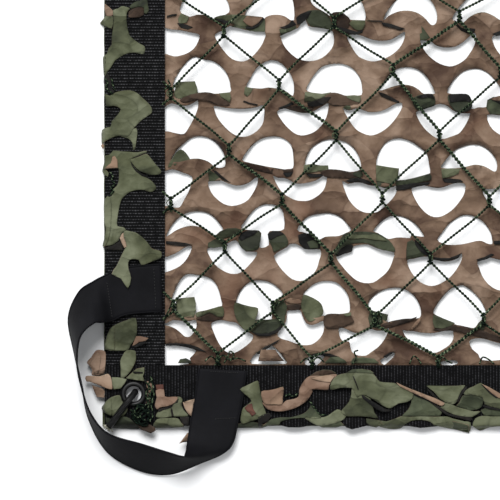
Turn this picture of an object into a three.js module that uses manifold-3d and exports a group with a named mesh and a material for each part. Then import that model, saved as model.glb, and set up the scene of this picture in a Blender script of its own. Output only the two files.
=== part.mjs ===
// A camouflage net panel lying flat: a leaf-cut sheet under a knotted twine net, bordered on all four
// sides with ribbed webbing whose outer edge is wrapped in strips of the same leaf-cut cloth. Each corner
// has an eyelet and a tape strap that stands round the corner as a loop, and one eyelet holds a tie cord.
// Millimetres, +Z up. The origin is under the middle of the panel, on the surface that it lies on.
import * as THREE from 'three';
import Module from 'manifold-3d';

const wasm = await Module();
wasm.setup();

// ---- driving dimensions ----
const SIDE = 636;              // the panel, over its webbing
const HALF = SIDE / 2;
const WEB_WIDTH = 50;
const WEB_THICK = 1.2;
const SHEET_THICK = 1.0;       // the leaf-cut cloth
const TWINE_WIDTH = 2.2;
const TWINE_THICK = 1.8;
const GAP = 0.3;               // between any two pieces
const SHEET_UNDER = 16.5;       // how far the sheet runs in under the webbing
const NET_UNDER = 16;          // and the twine net
const RIM = 4;                 // uncut margin round the sheet
const EDGE_CORD = 2.4;         // the net's own border strand

// ---- the stack, from the floor up ----
const TWINE_Z = SHEET_THICK + GAP;
const SIDE_WEB_Z = TWINE_Z + TWINE_THICK + GAP;        // left and right webbing
const END_WEB_Z = SIDE_WEB_Z + WEB_THICK + GAP;        // top and bottom webbing, over it at the corners
const SIDE_EDGING_Z = SIDE_WEB_Z + WEB_THICK + GAP;
const END_EDGING_Z = END_WEB_Z + WEB_THICK + GAP;

// ---- the leaf cuts: rows of domes, and bowls half a pitch along, turned a little on the sheet ----
const LEAF_PITCH = 56;
const LEAF_ROW = 61;
const LEAF_TURN = THREE.MathUtils.degToRad(-2.2);
const LEAF_START = { x: 26, y: 42.7 };                 // first dome, from the webbing's inner corner
const CUT_HALF_WIDTH = 21.3;
const DOME_HEIGHT = 26;
const BOWL_DEPTH = 24.5;
const BAND = 11.7;                                     // between a dome and the bowls under it
const CUT_STEPS = 8;                                   // sides of a cut's round part
const CUT_FULLNESS = 2.3;                              // 2 is an ellipse, more is squarer
const SMALLEST_CUT = 8.5;

// How the cloth between the cuts lies at each dome and bowl: . plain, m a crescent standing in the cut,
// s a square end folded up, g a narrow strip, l a long leaf, c curled away. Rows run from the bottom up.
const DOME_CHART = ['sss.s', 'mccl.', 's.gsm', 's.gmc', '..fmm'];
const BOWL_CHART = ['..sm..', 'm.clg.', '.mm.m.', '.mmmcc', '..dmm.'];
const FURTHER_FLAPS = 'm.sg.mc.ml.s.mg.';

// ---- the twine net ----
const KNOT_STEP = { x: 44.7, y: 46.6 };                // half a mesh
const KNOT_START = { x: 4.5, y: 2.5 };
const KNOT_SWAY = { x: 7, y: 8 };                      // how far the meshes are pulled out of line
const KNOT_REACH = 4.6;                                // a knot's half length along each bar

// ---- the corner pieces, measured from the webbing's outer corner ----
const EYELET = { x: 24, y: 26, bore: 6.5, barrel: 7.2, flange: 10.5 };
const STRAP_THICK = 1.2;
const STRAP_SECTIONS = [                               // from the side webbing round to the end webbing
  { inX: 48.3, inY: 94.2, inZ: 6.8, outX: 46.7, outY: 134.6, outZ: 6.8 },
  { inX: 19.2, inY: 91.7, inZ: 6.8, outX: 15.0, outY: 131.7, outZ: 6.8 },
  { inX: 6.7, inY: 86.5, inZ: 8.6, outX: 0.8, outY: 125.6, outZ: 6.9 },
  { inX: -0.5, inY: 85.8, inZ: 24.0, outX: -10.0, outY: 120.0, outZ: 6.6 },
  { inX: -8.5, inY: 85.4, inZ: 34.0, outX: -22.5, outY: 110.8, outZ: 3.0 },
  { inX: -19.6, inY: 74.2, inZ: 38.6, outX: -30.8, outY: 89.2, outZ: 1.2 },
  { inX: -22.1, inY: 53.3, inZ: 41.0, outX: -25.6, outY: 60.0, outZ: 0.8 },
  { inX: -18.6, inY: 33.3, inZ: 41.3, outX: -19.4, outY: 31.7, outZ: 0.8 },
  { inX: -11.0, inY: 11.0, inZ: 40.5, outX: -13.4, outY: 4.2, outZ: 0.8 },
  { inX: 3.6, inY: -6.0, inZ: 38.0, outX: 2.0, outY: -22.8, outZ: 0.8 },
  { inX: 31.7, inY: -15.0, inZ: 33.5, outX: 28.4, outY: -38.3, outZ: 0.9 },
  { inX: 54.2, inY: -22.0, inZ: 37.0, outX: 54.2, outY: -41.4, outZ: 1.6 },
  { inX: 65.4, inY: -25.0, inZ: 38.0, outX: 80.8, outY: -31.4, outZ: 4.6 },
  { inX: 67.3, inY: -21.5, inZ: 29.0, outX: 98.6, outY: -23.6, outZ: 8.8 },
  { inX: 68.4, inY: -14.0, inZ: 15.5, outX: 107.2, outY: -14.6, outZ: 9.4 },
  { inX: 70.8, inY: 2.5, inZ: 8.6, outX: 111.6, outY: 4.0, outZ: 8.4 },
  { inX: 74.4, inY: 22.8, inZ: 8.3, outX: 115.4, outY: 22.4, outZ: 8.3 },
  { inX: 77.6, inY: 47.3, inZ: 8.3, outX: 118.6, outY: 45.2, outZ: 8.3 },
];
const STRAP_STEPS = 2;                                 // steps from one section to the next
const TIE_DIAMETER = 5.5;
const TIE_TURN = Math.atan2(-27.7, -21.1);             // its direction, out over the corner
const TIE_ROUTE = [                                    // from inside the eyelet, along that direction
  { along: -2.5, z: 3.2 },
  { along: 0.6, z: 7.0 },
  { along: 3.7, z: 10.0 },
  { along: 7.8, z: 11.6 },
  { along: 13.5, z: 11.5 },
  { along: 20.5, z: 11.2 },
  { along: 27.5, z: 10.9 },
  { along: 34.5, z: 10.7 },
];
const TIE_SIDES = 8;
const TIE_STEPS = 14;

// ---- the leaf edging, turned round the webbing's outer edge ----
const WRAP = 2.5;                                      // how far it stands out past the webbing
const SEAM = 6.5;                                      // from the webbing's edge to the fold
const HEM = 12;                                        // its turned-in layers under the webbing
// Each row is one leaf: where it starts from the corner, its width along the strip and its reach across.
const SIDE_LEAVES = [
  { at: 53, width: 12, reach: 26, form: 'tab', lean: 0 },
  { at: 67, width: 22, reach: 24, form: 'fan', lean: 0.2 },
  { at: 118, width: 26, reach: 18, form: 'point', lean: -0.4 },
  { at: 146, width: 20, reach: 38, form: 'fan', lean: 0.1 },
  { at: 170, width: 16, reach: 9, form: 'round', lean: 0 },
  { at: 189, width: 20, reach: 39, form: 'round', lean: 0 },
  { at: 212, width: 14, reach: 45, form: 'point', lean: -0.2 },
  { at: 232, width: 12, reach: 24, form: 'tab', lean: 0.6 },
  { at: 256, width: 22, reach: 36, form: 'hook', lean: -0.2 },
  { at: 298, width: 26, reach: 32, form: 'hook', lean: 0.1 },
];
const END_LEAVES = [
  { at: 38, width: 20, reach: 26, form: 'tab', lean: 0 },
  { at: 60, width: 12, reach: 19, form: 'round', lean: 0 },
  { at: 118, width: 13, reach: 37, form: 'point', lean: -0.3 },
  { at: 132, width: 12, reach: 31, form: 'tab', lean: -0.4 },
  { at: 146, width: 18, reach: 17, form: 'round', lean: 0.2 },
  { at: 168, width: 22, reach: 43, form: 'hook', lean: -0.2 },
  { at: 194, width: 36, reach: 44, form: 'round', lean: 0.1 },
  { at: 232, width: 26, reach: 33, form: 'round', lean: 0 },
  { at: 260, width: 18, reach: 34, form: 'point', lean: -0.3 },
  { at: 282, width: 48, reach: 33, form: 'fan', lean: 0 },
];
const CORNER_LEAVES = [                                // on the short end at the corner
  { at: 8, width: 12, reach: 12.5, form: 'round', lean: 0 },
  { at: 38, width: 10, reach: 20, form: 'tab', lean: 0.2 },
];
const STRAY_LEAVES = [                                 // ends that stand out past the corner's side
  { at: 23, width: 8, reach: 11, form: 'tab', lean: 0.1 },
  { at: 34, width: 13, reach: 14, form: 'point', lean: 0 },
];
const FORMS = {                                        // along and across, from 0 to 1
  round: [[0, 0], [0.08, 0.6], [0.36, 1], [0.68, 0.98], [0.93, 0.6], [1, 0]],
  point: [[0, 0], [0.12, 0.45], [0.4, 0.8], [0.62, 1], [0.74, 0.55], [1, 0]],
  hook: [[0, 0], [-0.02, 0.55], [0.25, 0.95], [0.7, 1], [1.05, 0.72], [0.78, 0.5], [1, 0]],
  tab: [[0, 0], [0.04, 0.96], [0.94, 1], [1, 0]],
  fan: [[0, 0], [-0.08, 0.75], [0.4, 1], [0.96, 0.86], [1, 0]],
};

// ---- materials ----
const cloth = (color, roughness) => new THREE.MeshStandardMaterial({ color, roughness, metalness: 0 });
const leafBrown = cloth(0x7b6858, 0.8);
const leafGreen = cloth(0x5a634c, 0.8);
const twineGreen = cloth(0x1c2620, 0.85);
const webbingBlack = cloth(0x141416, 0.75);
const tapeBlack = cloth(0x1b1b1e, 0.6);
const cordBlack = cloth(0x111213, 0.6);
const eyeletBlack = new THREE.MeshStandardMaterial({ color: 0x0d0d0e, roughness: 0.35, metalness: 0.3 });

const panel = new THREE.Group();

function addPiece(name, geometry, material) {
  const mesh = new THREE.Mesh(geometry, material);
  mesh.name = name;
  panel.add(mesh);
}

// ---- plain geometry helpers ----
const corner = (x, y) => new THREE.Vector2(x, y);

// A repeatable number from -0.5 to 0.5 for a place in a pattern.
function jitter(a, b, c) {
  const wave = Math.sin(a * 127.1 + b * 311.7 + c * 74.7) * 43758.5453;
  return wave - Math.floor(wave) - 0.5;
}

// Drops repeated points and points on a straight line between their neighbours.
function tidyOutline(points) {
  let kept = points.filter((p, i) => p.distanceTo(points[(i + 1) % points.length]) > 0.05);
  let before = Infinity;
  while (kept.length < before) {
    before = kept.length;
    kept = kept.filter((p, i) => {
      const prior = kept[(i + kept.length - 1) % kept.length];
      const next = kept[(i + 1) % kept.length];
      const cross = (p.x - prior.x) * (next.y - p.y) - (p.y - prior.y) * (next.x - p.x);
      return Math.abs(cross) > 0.02;
    });
  }
  return kept;
}

function clampOutline(points, limit) {
  const clamp = (v) => THREE.MathUtils.clamp(v, -limit, limit);
  return tidyOutline(points.map((p) => corner(clamp(p.x), clamp(p.y))));
}

function smallestSize(points) {
  if (points.length < 3) return 0;
  const size = new THREE.Box2().setFromPoints(points).getSize(corner(0, 0));
  return Math.min(size.x, size.y);
}

function rectangle(x0, y0, x1, y1) {
  return [corner(x0, y0), corner(x1, y0), corner(x1, y1), corner(x0, y1)];
}

const square = (half) => rectangle(-half, -half, half, half);

function plateSolid(outline, holes, z, thickness) {
  const section = (outlines) => new wasm.CrossSection(outlines.map((o) => o.map((p) => [p.x, p.y])), 'NonZero');
  const cut = holes.length ? section([outline]).subtract(section(holes)) : section([outline]);
  return cut.extrude(thickness).translate(0, 0, z);
}

function geometryOf(solid) {
  const mesh = solid.getMesh();
  const geometry = new THREE.BufferGeometry();
  geometry.setAttribute('position', new THREE.BufferAttribute(mesh.vertProperties, 3));
  geometry.setIndex(new THREE.BufferAttribute(mesh.triVerts, 1));
  return geometry;
}

const plate = (outline, holes, z, thickness) => geometryOf(plateSolid(outline, holes, z, thickness));
const joined = (solids) => geometryOf(solids.reduce((a, b) => a.add(b)));

// ---- the leaf-cut sheet ----
function cutArc(height) {
  const points = [];
  for (let i = 0; i <= CUT_STEPS; i += 1) {
    const turn = (Math.PI * i) / CUT_STEPS;
    const across = Math.abs(Math.cos(turn)) ** (2 / CUT_FULLNESS) * Math.sign(Math.cos(turn));
    const up = Math.abs(Math.sin(turn)) ** (2 / CUT_FULLNESS);
    points.push(corner(CUT_HALF_WIDTH * across, height * up));
  }
  return points;
}

// The straight side of a cut, from its left end to its right, as the flap there leaves it.
function cutBase(flap, isDome) {
  const a = CUT_HALF_WIDTH;
  if (flap === 'm') return [corner(-0.7 * a, 5), corner(-0.1 * a, 8.5), corner(0.6 * a, 6)];
  if (flap === 's' && isDome) return [corner(-a + 0.8, 11.5), corner(-a + 18.5, 10.5), corner(-a + 17.5, -0.8)];
  if (flap === 'l' && isDome) return [corner(-0.6 * a, 3.5), corner(0.1 * a, 4.5)];
  if (flap === 'g') return [corner(-0.5 * a, 2.4)];
  if (flap === 'c') return [corner(-3, -0.6), corner(-2.2, -7.5), corner(9, -8), corner(10, -0.6)];
  return [];
}

function leafCut(column, row, isDome, flap) {
  const along = column * LEAF_PITCH + (isDome ? 0 : LEAF_PITCH / 2);
  const up = row * LEAF_ROW - (isDome ? 0 : BAND);
  const kind = isDome ? 1 : 2;
  const place = corner(along + 3 * jitter(column, row, kind), up + 2.4 * jitter(column, row, kind + 2));
  const wide = 1 + 0.12 * jitter(column, row, kind + 4);
  const tall = 1 + 0.12 * jitter(column, row, kind + 6);
  const height = isDome ? DOME_HEIGHT : BOWL_DEPTH;
  const arc = cutArc(height).filter((p) => !(flap === 's' && isDome && p.x < 0 && p.y < 12.5));
  const local = [...arc, ...cutBase(flap, isDome)];
  const centre = corner(0, 0);
  return local.map((p) => corner(p.x * wide, (isDome ? p.y : -p.y) * tall)
    .add(place)
    .rotateAround(centre, LEAF_TURN)
    .add(corner(LEAF_START.x - HALF + WEB_WIDTH, LEAF_START.y - HALF + WEB_WIDTH)));
}

function flapAt(chart, column, row) {
  const charted = chart[row]?.[column];
  const further = FURTHER_FLAPS[(((3 * column + 7 * row) % 16) + 16) % 16];
  return charted ?? further;
}

function leafCuts() {
  const limit = HALF - WEB_WIDTH + SHEET_UNDER - RIM;
  const cuts = [];
  for (let row = -1; row <= 11; row += 1) {
    for (let column = -2; column <= 12; column += 1) {
      for (const isDome of [true, false]) {
        const flap = isDome ? flapAt(DOME_CHART, column, row) : flapAt(BOWL_CHART, column + 1, row);
        const full = tidyOutline(leafCut(column, row, isDome, flap));
        const inside = full.every((p) => Math.abs(p.x) < limit && Math.abs(p.y) < limit);
        const cut = inside ? full : clampOutline(leafCut(column, row, isDome, '.'), limit);
        if (smallestSize(cut) > SMALLEST_CUT) cuts.push(cut);
      }
    }
  }
  return cuts;
}

// ---- the twine net ----
function knot(column, row) {
  const x = KNOT_START.x + KNOT_STEP.x * column;
  const y = KNOT_START.y + KNOT_STEP.y * row;
  const swayX = KNOT_SWAY.x * Math.sin((Math.PI * x) / 420) * Math.sin((Math.PI * (y - 150)) / 220);
  const swayY = -KNOT_SWAY.y * Math.cos((Math.PI * x) / 250) * Math.sin((Math.PI * (y - 135)) / 190);
  return corner(x + swayX - HALF + WEB_WIDTH, y + swayY - HALF + WEB_WIDTH);
}

// One open mesh: each bar's inner side runs straight between the knots at its ends.
function meshGap(column, row) {
  const ring = [[1, 0], [0, 1], [-1, 0], [0, -1]].map(([dx, dy]) => knot(column + dx, row + dy));
  const outline = [];
  ring.forEach((here, i) => {
    for (const other of [ring[(i + 3) % 4], ring[(i + 1) % 4]]) {
      const bar = other.clone().sub(here).normalize();
      const side = corner(-bar.y, bar.x);
      const inward = other === ring[(i + 1) % 4] ? 1 : -1;
      outline.push(here.clone().addScaledVector(bar, KNOT_REACH).addScaledVector(side, (inward * TWINE_WIDTH) / 2));
    }
  });
  return outline;
}

function meshGaps() {
  const limit = HALF - WEB_WIDTH + NET_UNDER - EDGE_CORD;
  const gaps = [];
  for (let row = -2; row <= 15; row += 1) {
    for (let column = -2; column <= 16; column += 1) {
      const isMesh = (column + row) % 2 === 0;
      const gap = isMesh ? clampOutline(meshGap(column, row), limit) : [];
      if (smallestSize(gap) > SMALLEST_CUT) gaps.push(gap);
    }
  }
  return gaps;
}

// ---- the webbing ----
function circle(x, y, radius, sides) {
  return Array.from({ length: sides }, (_, i) => {
    const turn = (2 * Math.PI * i) / sides;
    return corner(x + radius * Math.cos(turn), y + radius * Math.sin(turn));
  });
}

const EYELET_X = HALF - EYELET.x;
const EYELET_Y = HALF - EYELET.y;

function webbing(x0, y0, x1, y1, z) {
  const places = [[-1, -1], [1, -1], [1, 1], [-1, 1]].map(([sx, sy]) => corner(sx * EYELET_X, sy * EYELET_Y));
  const holds = (p) => p.x > x0 && p.x < x1 && p.y > y0 && p.y < y1;
  const holes = places.filter(holds).map((p) => circle(p.x, p.y, EYELET.barrel + GAP, 14));
  return plate(rectangle(x0, y0, x1, y1), holes, z, WEB_THICK);
}

// ---- the leaf edging ----
// The inner line of the edging from one place along the strip to another, as [along, across] pairs.
function leafLine(leaves, start) {
  const line = [[start, SEAM]];
  for (const leaf of leaves) {
    for (const [s, t] of FORMS[leaf.form]) {
      const across = SEAM + t * (leaf.reach - SEAM);
      line.push([leaf.at + leaf.width * (s + leaf.lean * t), across]);
    }
  }
  return line;
}

// Mirrors a line about the strip's middle, so that both of its ends match.
function bothEnds(line) {
  const far = line.map(([along, across]) => [SIDE - along, across]).reverse();
  return [...line, ...far];
}

// A strip's solids in its own frame: along x from 0 to SIDE, its edge at y = 0, its reach towards +y.
function sideEdging() {
  const start = WEB_WIDTH + 2 * GAP;
  const inner = bothEnds(leafLine(SIDE_LEAVES, start));
  const outline = [...inner, [SIDE - start, -WRAP], [start, -WRAP]].map(([x, y]) => corner(x, y));
  const top = SIDE_EDGING_Z + SHEET_THICK;
  const hemTop = SIDE_WEB_Z - GAP;
  return joined([
    plateSolid(tidyOutline(outline), [], SIDE_EDGING_Z, SHEET_THICK),
    plateSolid(rectangle(start, -WRAP, SIDE - start, -GAP), [], 0, top),
    plateSolid(rectangle(start, -WRAP, SIDE - start, HEM), [], 0, hemTop),
  ]);
}

function endEdging() {
  const short = WEB_WIDTH - GAP;
  const stray = leafLine(STRAY_LEAVES, -WRAP).slice(1)
    .map(([along, across]) => [-WRAP - (across - SEAM), along]);
  const end = leafLine(CORNER_LEAVES, SEAM).slice(1).map(([along, across]) => [across, along]);
  const cornerLine = [[-WRAP, -WRAP], ...stray, [-WRAP, short], [SEAM, short], ...end.reverse(), [SEAM, SEAM]];
  const inner = bothEnds([...cornerLine, ...leafLine(END_LEAVES, SEAM).slice(1)]);
  const outline = inner.map(([x, y]) => corner(x, y));
  const top = END_EDGING_Z + SHEET_THICK;
  const hemTop = SIDE_WEB_Z - GAP;
  const far = SIDE + WRAP;
  return joined([
    plateSolid(tidyOutline(outline), [], END_EDGING_Z, SHEET_THICK),
    plateSolid(rectangle(-WRAP, -WRAP, far, -GAP), [], 0, top),
    plateSolid(rectangle(-WRAP, -WRAP, far, HEM), [], 0, hemTop),
    plateSolid(rectangle(-WRAP, -WRAP, -GAP, short), [], 0, top),
    plateSolid(rectangle(-WRAP, -WRAP, HEM, short), [], 0, hemTop),
    plateSolid(rectangle(SIDE + GAP, -WRAP, far, short), [], 0, top),
    plateSolid(rectangle(SIDE - HEM, -WRAP, far, short), [], 0, hemTop),
  ]);
}

// ---- eyelets, straps and the tie cord ----
function eyelet() {
  const under = SIDE_WEB_Z - GAP;
  const over = END_WEB_Z + WEB_THICK + GAP;
  const profile = [
    [EYELET.bore, under - 1],
    [EYELET.flange - 0.4, under - 1],
    [EYELET.flange, under],
    [EYELET.barrel, under],
    [EYELET.barrel, over],
    [EYELET.flange, over],
    [EYELET.flange - 0.3, over + 1],
    [EYELET.flange - 2, over + 1.8],
    [EYELET.bore + 0.6, over + 1.2],
    [EYELET.bore, over + 0.2],
    [EYELET.bore, under - 1],
  ].map(([r, z]) => corner(r, z));
  return new THREE.LatheGeometry(profile, 12).rotateX(Math.PI / 2);
}

// A closed ribbon between two edge curves.
function ribbon(inner, outer, steps, thickness) {
  const positions = [];
  const index = [];
  const normal = new THREE.Vector3();
  for (let i = 0; i <= steps; i += 1) {
    const t = i / steps;
    const edges = [inner.getPoint(t), outer.getPoint(t)];
    const across = edges[1].clone().sub(edges[0]);
    [inner, outer].forEach((curve, side) => {
      normal.crossVectors(across, curve.getTangent(t)).setLength(thickness / 2);
      for (const way of [1, -1]) positions.push(...edges[side].clone().addScaledVector(normal, way).toArray());
    });
  }
  const quad = (a, b, c, d) => index.push(a, c, b, a, d, c);
  for (let i = 0; i < steps; i += 1) {
    const n = 4 * i;
    quad(n, n + 4, n + 6, n + 2);
    quad(n + 2, n + 6, n + 7, n + 3);
    quad(n + 1, n + 3, n + 7, n + 5);
    quad(n + 1, n + 5, n + 4, n);
  }
  const last = 4 * steps;
  quad(0, 2, 3, 1);
  quad(last, last + 1, last + 3, last + 2);
  const geometry = new THREE.BufferGeometry();
  geometry.setAttribute('position', new THREE.Float32BufferAttribute(positions, 3));
  geometry.setIndex(index);
  return geometry;
}

function strap(signX, signY) {
  const place = (x, y, z) => new THREE.Vector3(signX * (HALF - x), signY * (HALF - y), z);
  const inner = STRAP_SECTIONS.map((row) => place(row.inX, row.inY, row.inZ));
  const outer = STRAP_SECTIONS.map((row) => place(row.outX, row.outY, row.outZ));
  const curves = [inner, outer].map((points) => new THREE.CatmullRomCurve3(points, false, 'centripetal'));
  const steps = (STRAP_SECTIONS.length - 1) * STRAP_STEPS;
  return ribbon(curves[0], curves[1], steps, STRAP_THICK);
}

function tieCord() {
  const route = TIE_ROUTE.map((row) => new THREE.Vector3(
    -EYELET_X + row.along * Math.cos(TIE_TURN),
    -EYELET_Y + row.along * Math.sin(TIE_TURN),
    row.z,
  ));
  const section = new THREE.Shape(circle(0, 0, TIE_DIAMETER / 2, TIE_SIDES));
  const extrudePath = new THREE.CatmullRomCurve3(route, false, 'centripetal');
  return new THREE.ExtrudeGeometry(section, { steps: TIE_STEPS, bevelEnabled: false, extrudePath });
}

// ---- the panel ----
addPiece('leaf_sheet', plate(square(HALF - WEB_WIDTH + SHEET_UNDER), leafCuts(), 0, SHEET_THICK), leafBrown);
addPiece('twine_net', plate(square(HALF - WEB_WIDTH + NET_UNDER), meshGaps(), TWINE_Z, TWINE_THICK), twineGreen);

const WEB_INNER = HALF - WEB_WIDTH;
addPiece('webbing_left', webbing(-HALF, -HALF, -WEB_INNER, HALF, SIDE_WEB_Z), webbingBlack);
addPiece('webbing_right', webbing(WEB_INNER, -HALF, HALF, HALF, SIDE_WEB_Z), webbingBlack);
addPiece('webbing_bottom', webbing(-HALF, -HALF, HALF, -WEB_INNER, END_WEB_Z), webbingBlack);
addPiece('webbing_top', webbing(-HALF, WEB_INNER, HALF, HALF, END_WEB_Z), webbingBlack);

const quarterTurn = Math.PI / 2;
addPiece('edging_bottom', endEdging().translate(-HALF, -HALF, 0), leafGreen);
addPiece('edging_top', endEdging().rotateZ(2 * quarterTurn).translate(HALF, HALF, 0), leafGreen);
addPiece('edging_left', sideEdging().rotateZ(-quarterTurn).translate(-HALF, HALF, 0), leafGreen);
addPiece('edging_right', sideEdging().rotateZ(quarterTurn).translate(HALF, -HALF, 0), leafGreen);

const CORNERS = { bottom_left: [-1, -1], bottom_right: [1, -1], top_right: [1, 1], top_left: [-1, 1] };
for (const [name, [signX, signY]] of Object.entries(CORNERS)) {
  addPiece(`eyelet_${name}`, eyelet().translate(signX * EYELET_X, signY * EYELET_Y, 0), eyeletBlack);
  addPiece(`strap_${name}`, strap(signX, signY), tapeBlack);
}
addPiece('tie_cord', tieCord(), cordBlack);

export default panel;
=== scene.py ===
"""A camouflage net lying face up on a pale floor, seen from straight above over its lower left corner."""
import math

import bpy
import numpy as np
from mathutils import Matrix, Vector, noise
from mathutils.geometry import delaunay_2d_cdt


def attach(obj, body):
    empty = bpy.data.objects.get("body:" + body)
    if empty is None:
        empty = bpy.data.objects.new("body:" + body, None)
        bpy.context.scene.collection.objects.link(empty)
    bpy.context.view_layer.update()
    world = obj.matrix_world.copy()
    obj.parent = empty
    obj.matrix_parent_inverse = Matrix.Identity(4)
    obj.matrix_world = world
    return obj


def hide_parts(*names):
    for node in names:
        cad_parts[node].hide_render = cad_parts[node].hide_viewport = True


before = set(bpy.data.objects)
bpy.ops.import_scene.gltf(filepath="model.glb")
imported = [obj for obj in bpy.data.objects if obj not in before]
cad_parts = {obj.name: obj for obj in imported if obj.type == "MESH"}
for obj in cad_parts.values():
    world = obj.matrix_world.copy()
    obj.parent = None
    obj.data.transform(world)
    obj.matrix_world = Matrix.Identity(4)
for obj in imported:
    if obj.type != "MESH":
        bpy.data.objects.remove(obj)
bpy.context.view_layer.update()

# ---- sizes, in metres ----
MM = 0.001
HALF = 0.318                       # half the panel, over its webbing
WEB = 0.050                        # the webbing's width
SHEET_HALF = HALF - WEB + 0.0165   # the leaf-cut sheet, under the webbing
NET_HALF = HALF - WEB + 0.016
SIDE_TOP, END_TOP = 4.6 * MM, 6.1 * MM   # top faces of the side and end webbing
VIEW = 500                         # the picture's width, in units
UNIT = WEB / 60                    # one unit on the floor: the webbing is 60 wide
CORNER = (105, 425)                # the webbing's outer corner in the picture


def spot(px, py):
    """A place in the picture, in units from its upper left corner, as a point on the panel."""
    return (px - CORNER[0]) * UNIT - HALF, (CORNER[1] - py) * UNIT - HALF


FINE_RIGHT, FINE_TOP = spot(VIEW + 6, -6)   # the seen quarter's far edges, where the finer meshes end


def read_rows(rows):
    """Rows that end in an outline or route written as "113.5,10.5 118,9", with its points read."""
    return [(*row[:-1], [tuple(map(float, point.split(","))) for point in row[-1].split()]) for row in rows]


# ---- camera, lights and floor ----
CAMERA_HEIGHT, CAMERA_SENSOR = 4.0, 36              # in metres and mm
SUN_POWER, SUN_SPREAD, SUN_TILT = 4.2, 30, (-35, -9)    # angles in degrees
SKY_COLOR, SKY_POWER = (0.97, 0.985, 1, 1), 0.66
FLOOR_HALF, FLOOR_HEIGHT = 6.0, -0.4 * MM


def add_to_scene(name, data):
    made = bpy.data.objects.new(name, data)
    bpy.context.scene.collection.objects.link(made)
    return made


def make_stage():
    scene = bpy.context.scene
    scene.view_settings.view_transform = "Standard"
    camera = add_to_scene("camera", bpy.data.cameras.new("camera"))
    camera.location = (*spot(VIEW / 2, VIEW / 2), CAMERA_HEIGHT)
    camera.data.sensor_width = CAMERA_SENSOR
    camera.data.lens = CAMERA_SENSOR * CAMERA_HEIGHT / (VIEW * UNIT)
    camera.data.clip_end = 5 * CAMERA_HEIGHT
    scene.camera = camera

    sun = add_to_scene("key", bpy.data.lights.new("key", "SUN"))
    sun.data.energy = SUN_POWER
    sun.data.angle = math.radians(SUN_SPREAD)
    sun.rotation_euler = (math.radians(SUN_TILT[0]), math.radians(SUN_TILT[1]), 0)

    scene.world = bpy.data.worlds.new("studio")
    scene.world.use_nodes = True
    sky = scene.world.node_tree.nodes["Background"].inputs
    sky["Color"].default_value = SKY_COLOR
    sky["Strength"].default_value = SKY_POWER

    mesh = bpy.data.meshes.new("floor")
    corners = [(x * FLOOR_HALF, y * FLOOR_HALF, 0) for x, y in ((-1, -1), (1, -1), (1, 1), (-1, 1))]
    mesh.from_pydata(corners, [], [(0, 1, 2, 3)])
    floor = add_to_scene("floor", mesh)
    floor.location.z = FLOOR_HEIGHT
    floor.data.materials.append(floor_material())


# ---- materials ----
BLACK, WHITE = (0, 0, 0), (1, 1, 1)
GAMMA, LIGHT_GAIN = 2.2, 0.60      # of the display, and what this light leaves of a colour
LARGE_FACETS, SMALL_FACETS = (34, 0.016, 24), (95, 0.009, -38)     # number to a metre, bend and lean
FACET_STRETCH = (0.8, 1.35, 1)
LARGE_TONE, SMALL_TONE = 0.22, 0.07            # how much a facet's tone shifts the cloth's
LARGE_DEPTH, SMALL_DEPTH, FIBRE_DEPTH = 5.5 * MM, 1.1 * MM, 0.3 * MM
# The second share paints shade along the facets' edges, where creases would lie in shadow.
STAIN_SHARE, CREASE_SHADE_SHARE, GRID_SHARE = 0.5, 0.4, 0.15
KNIT_PITCH = 1.1 * MM
RIB_PITCH, RIB_STITCH = 2.5 * MM, 2.3 * MM
ROW_STEP, ROW_SHIFT = 12.9898, 9.0             # in radians, so that no two rows of stitches are alike
TWILL_PITCH = 1.0 * MM
BRAID_PITCH = 1.6 * MM


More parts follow.
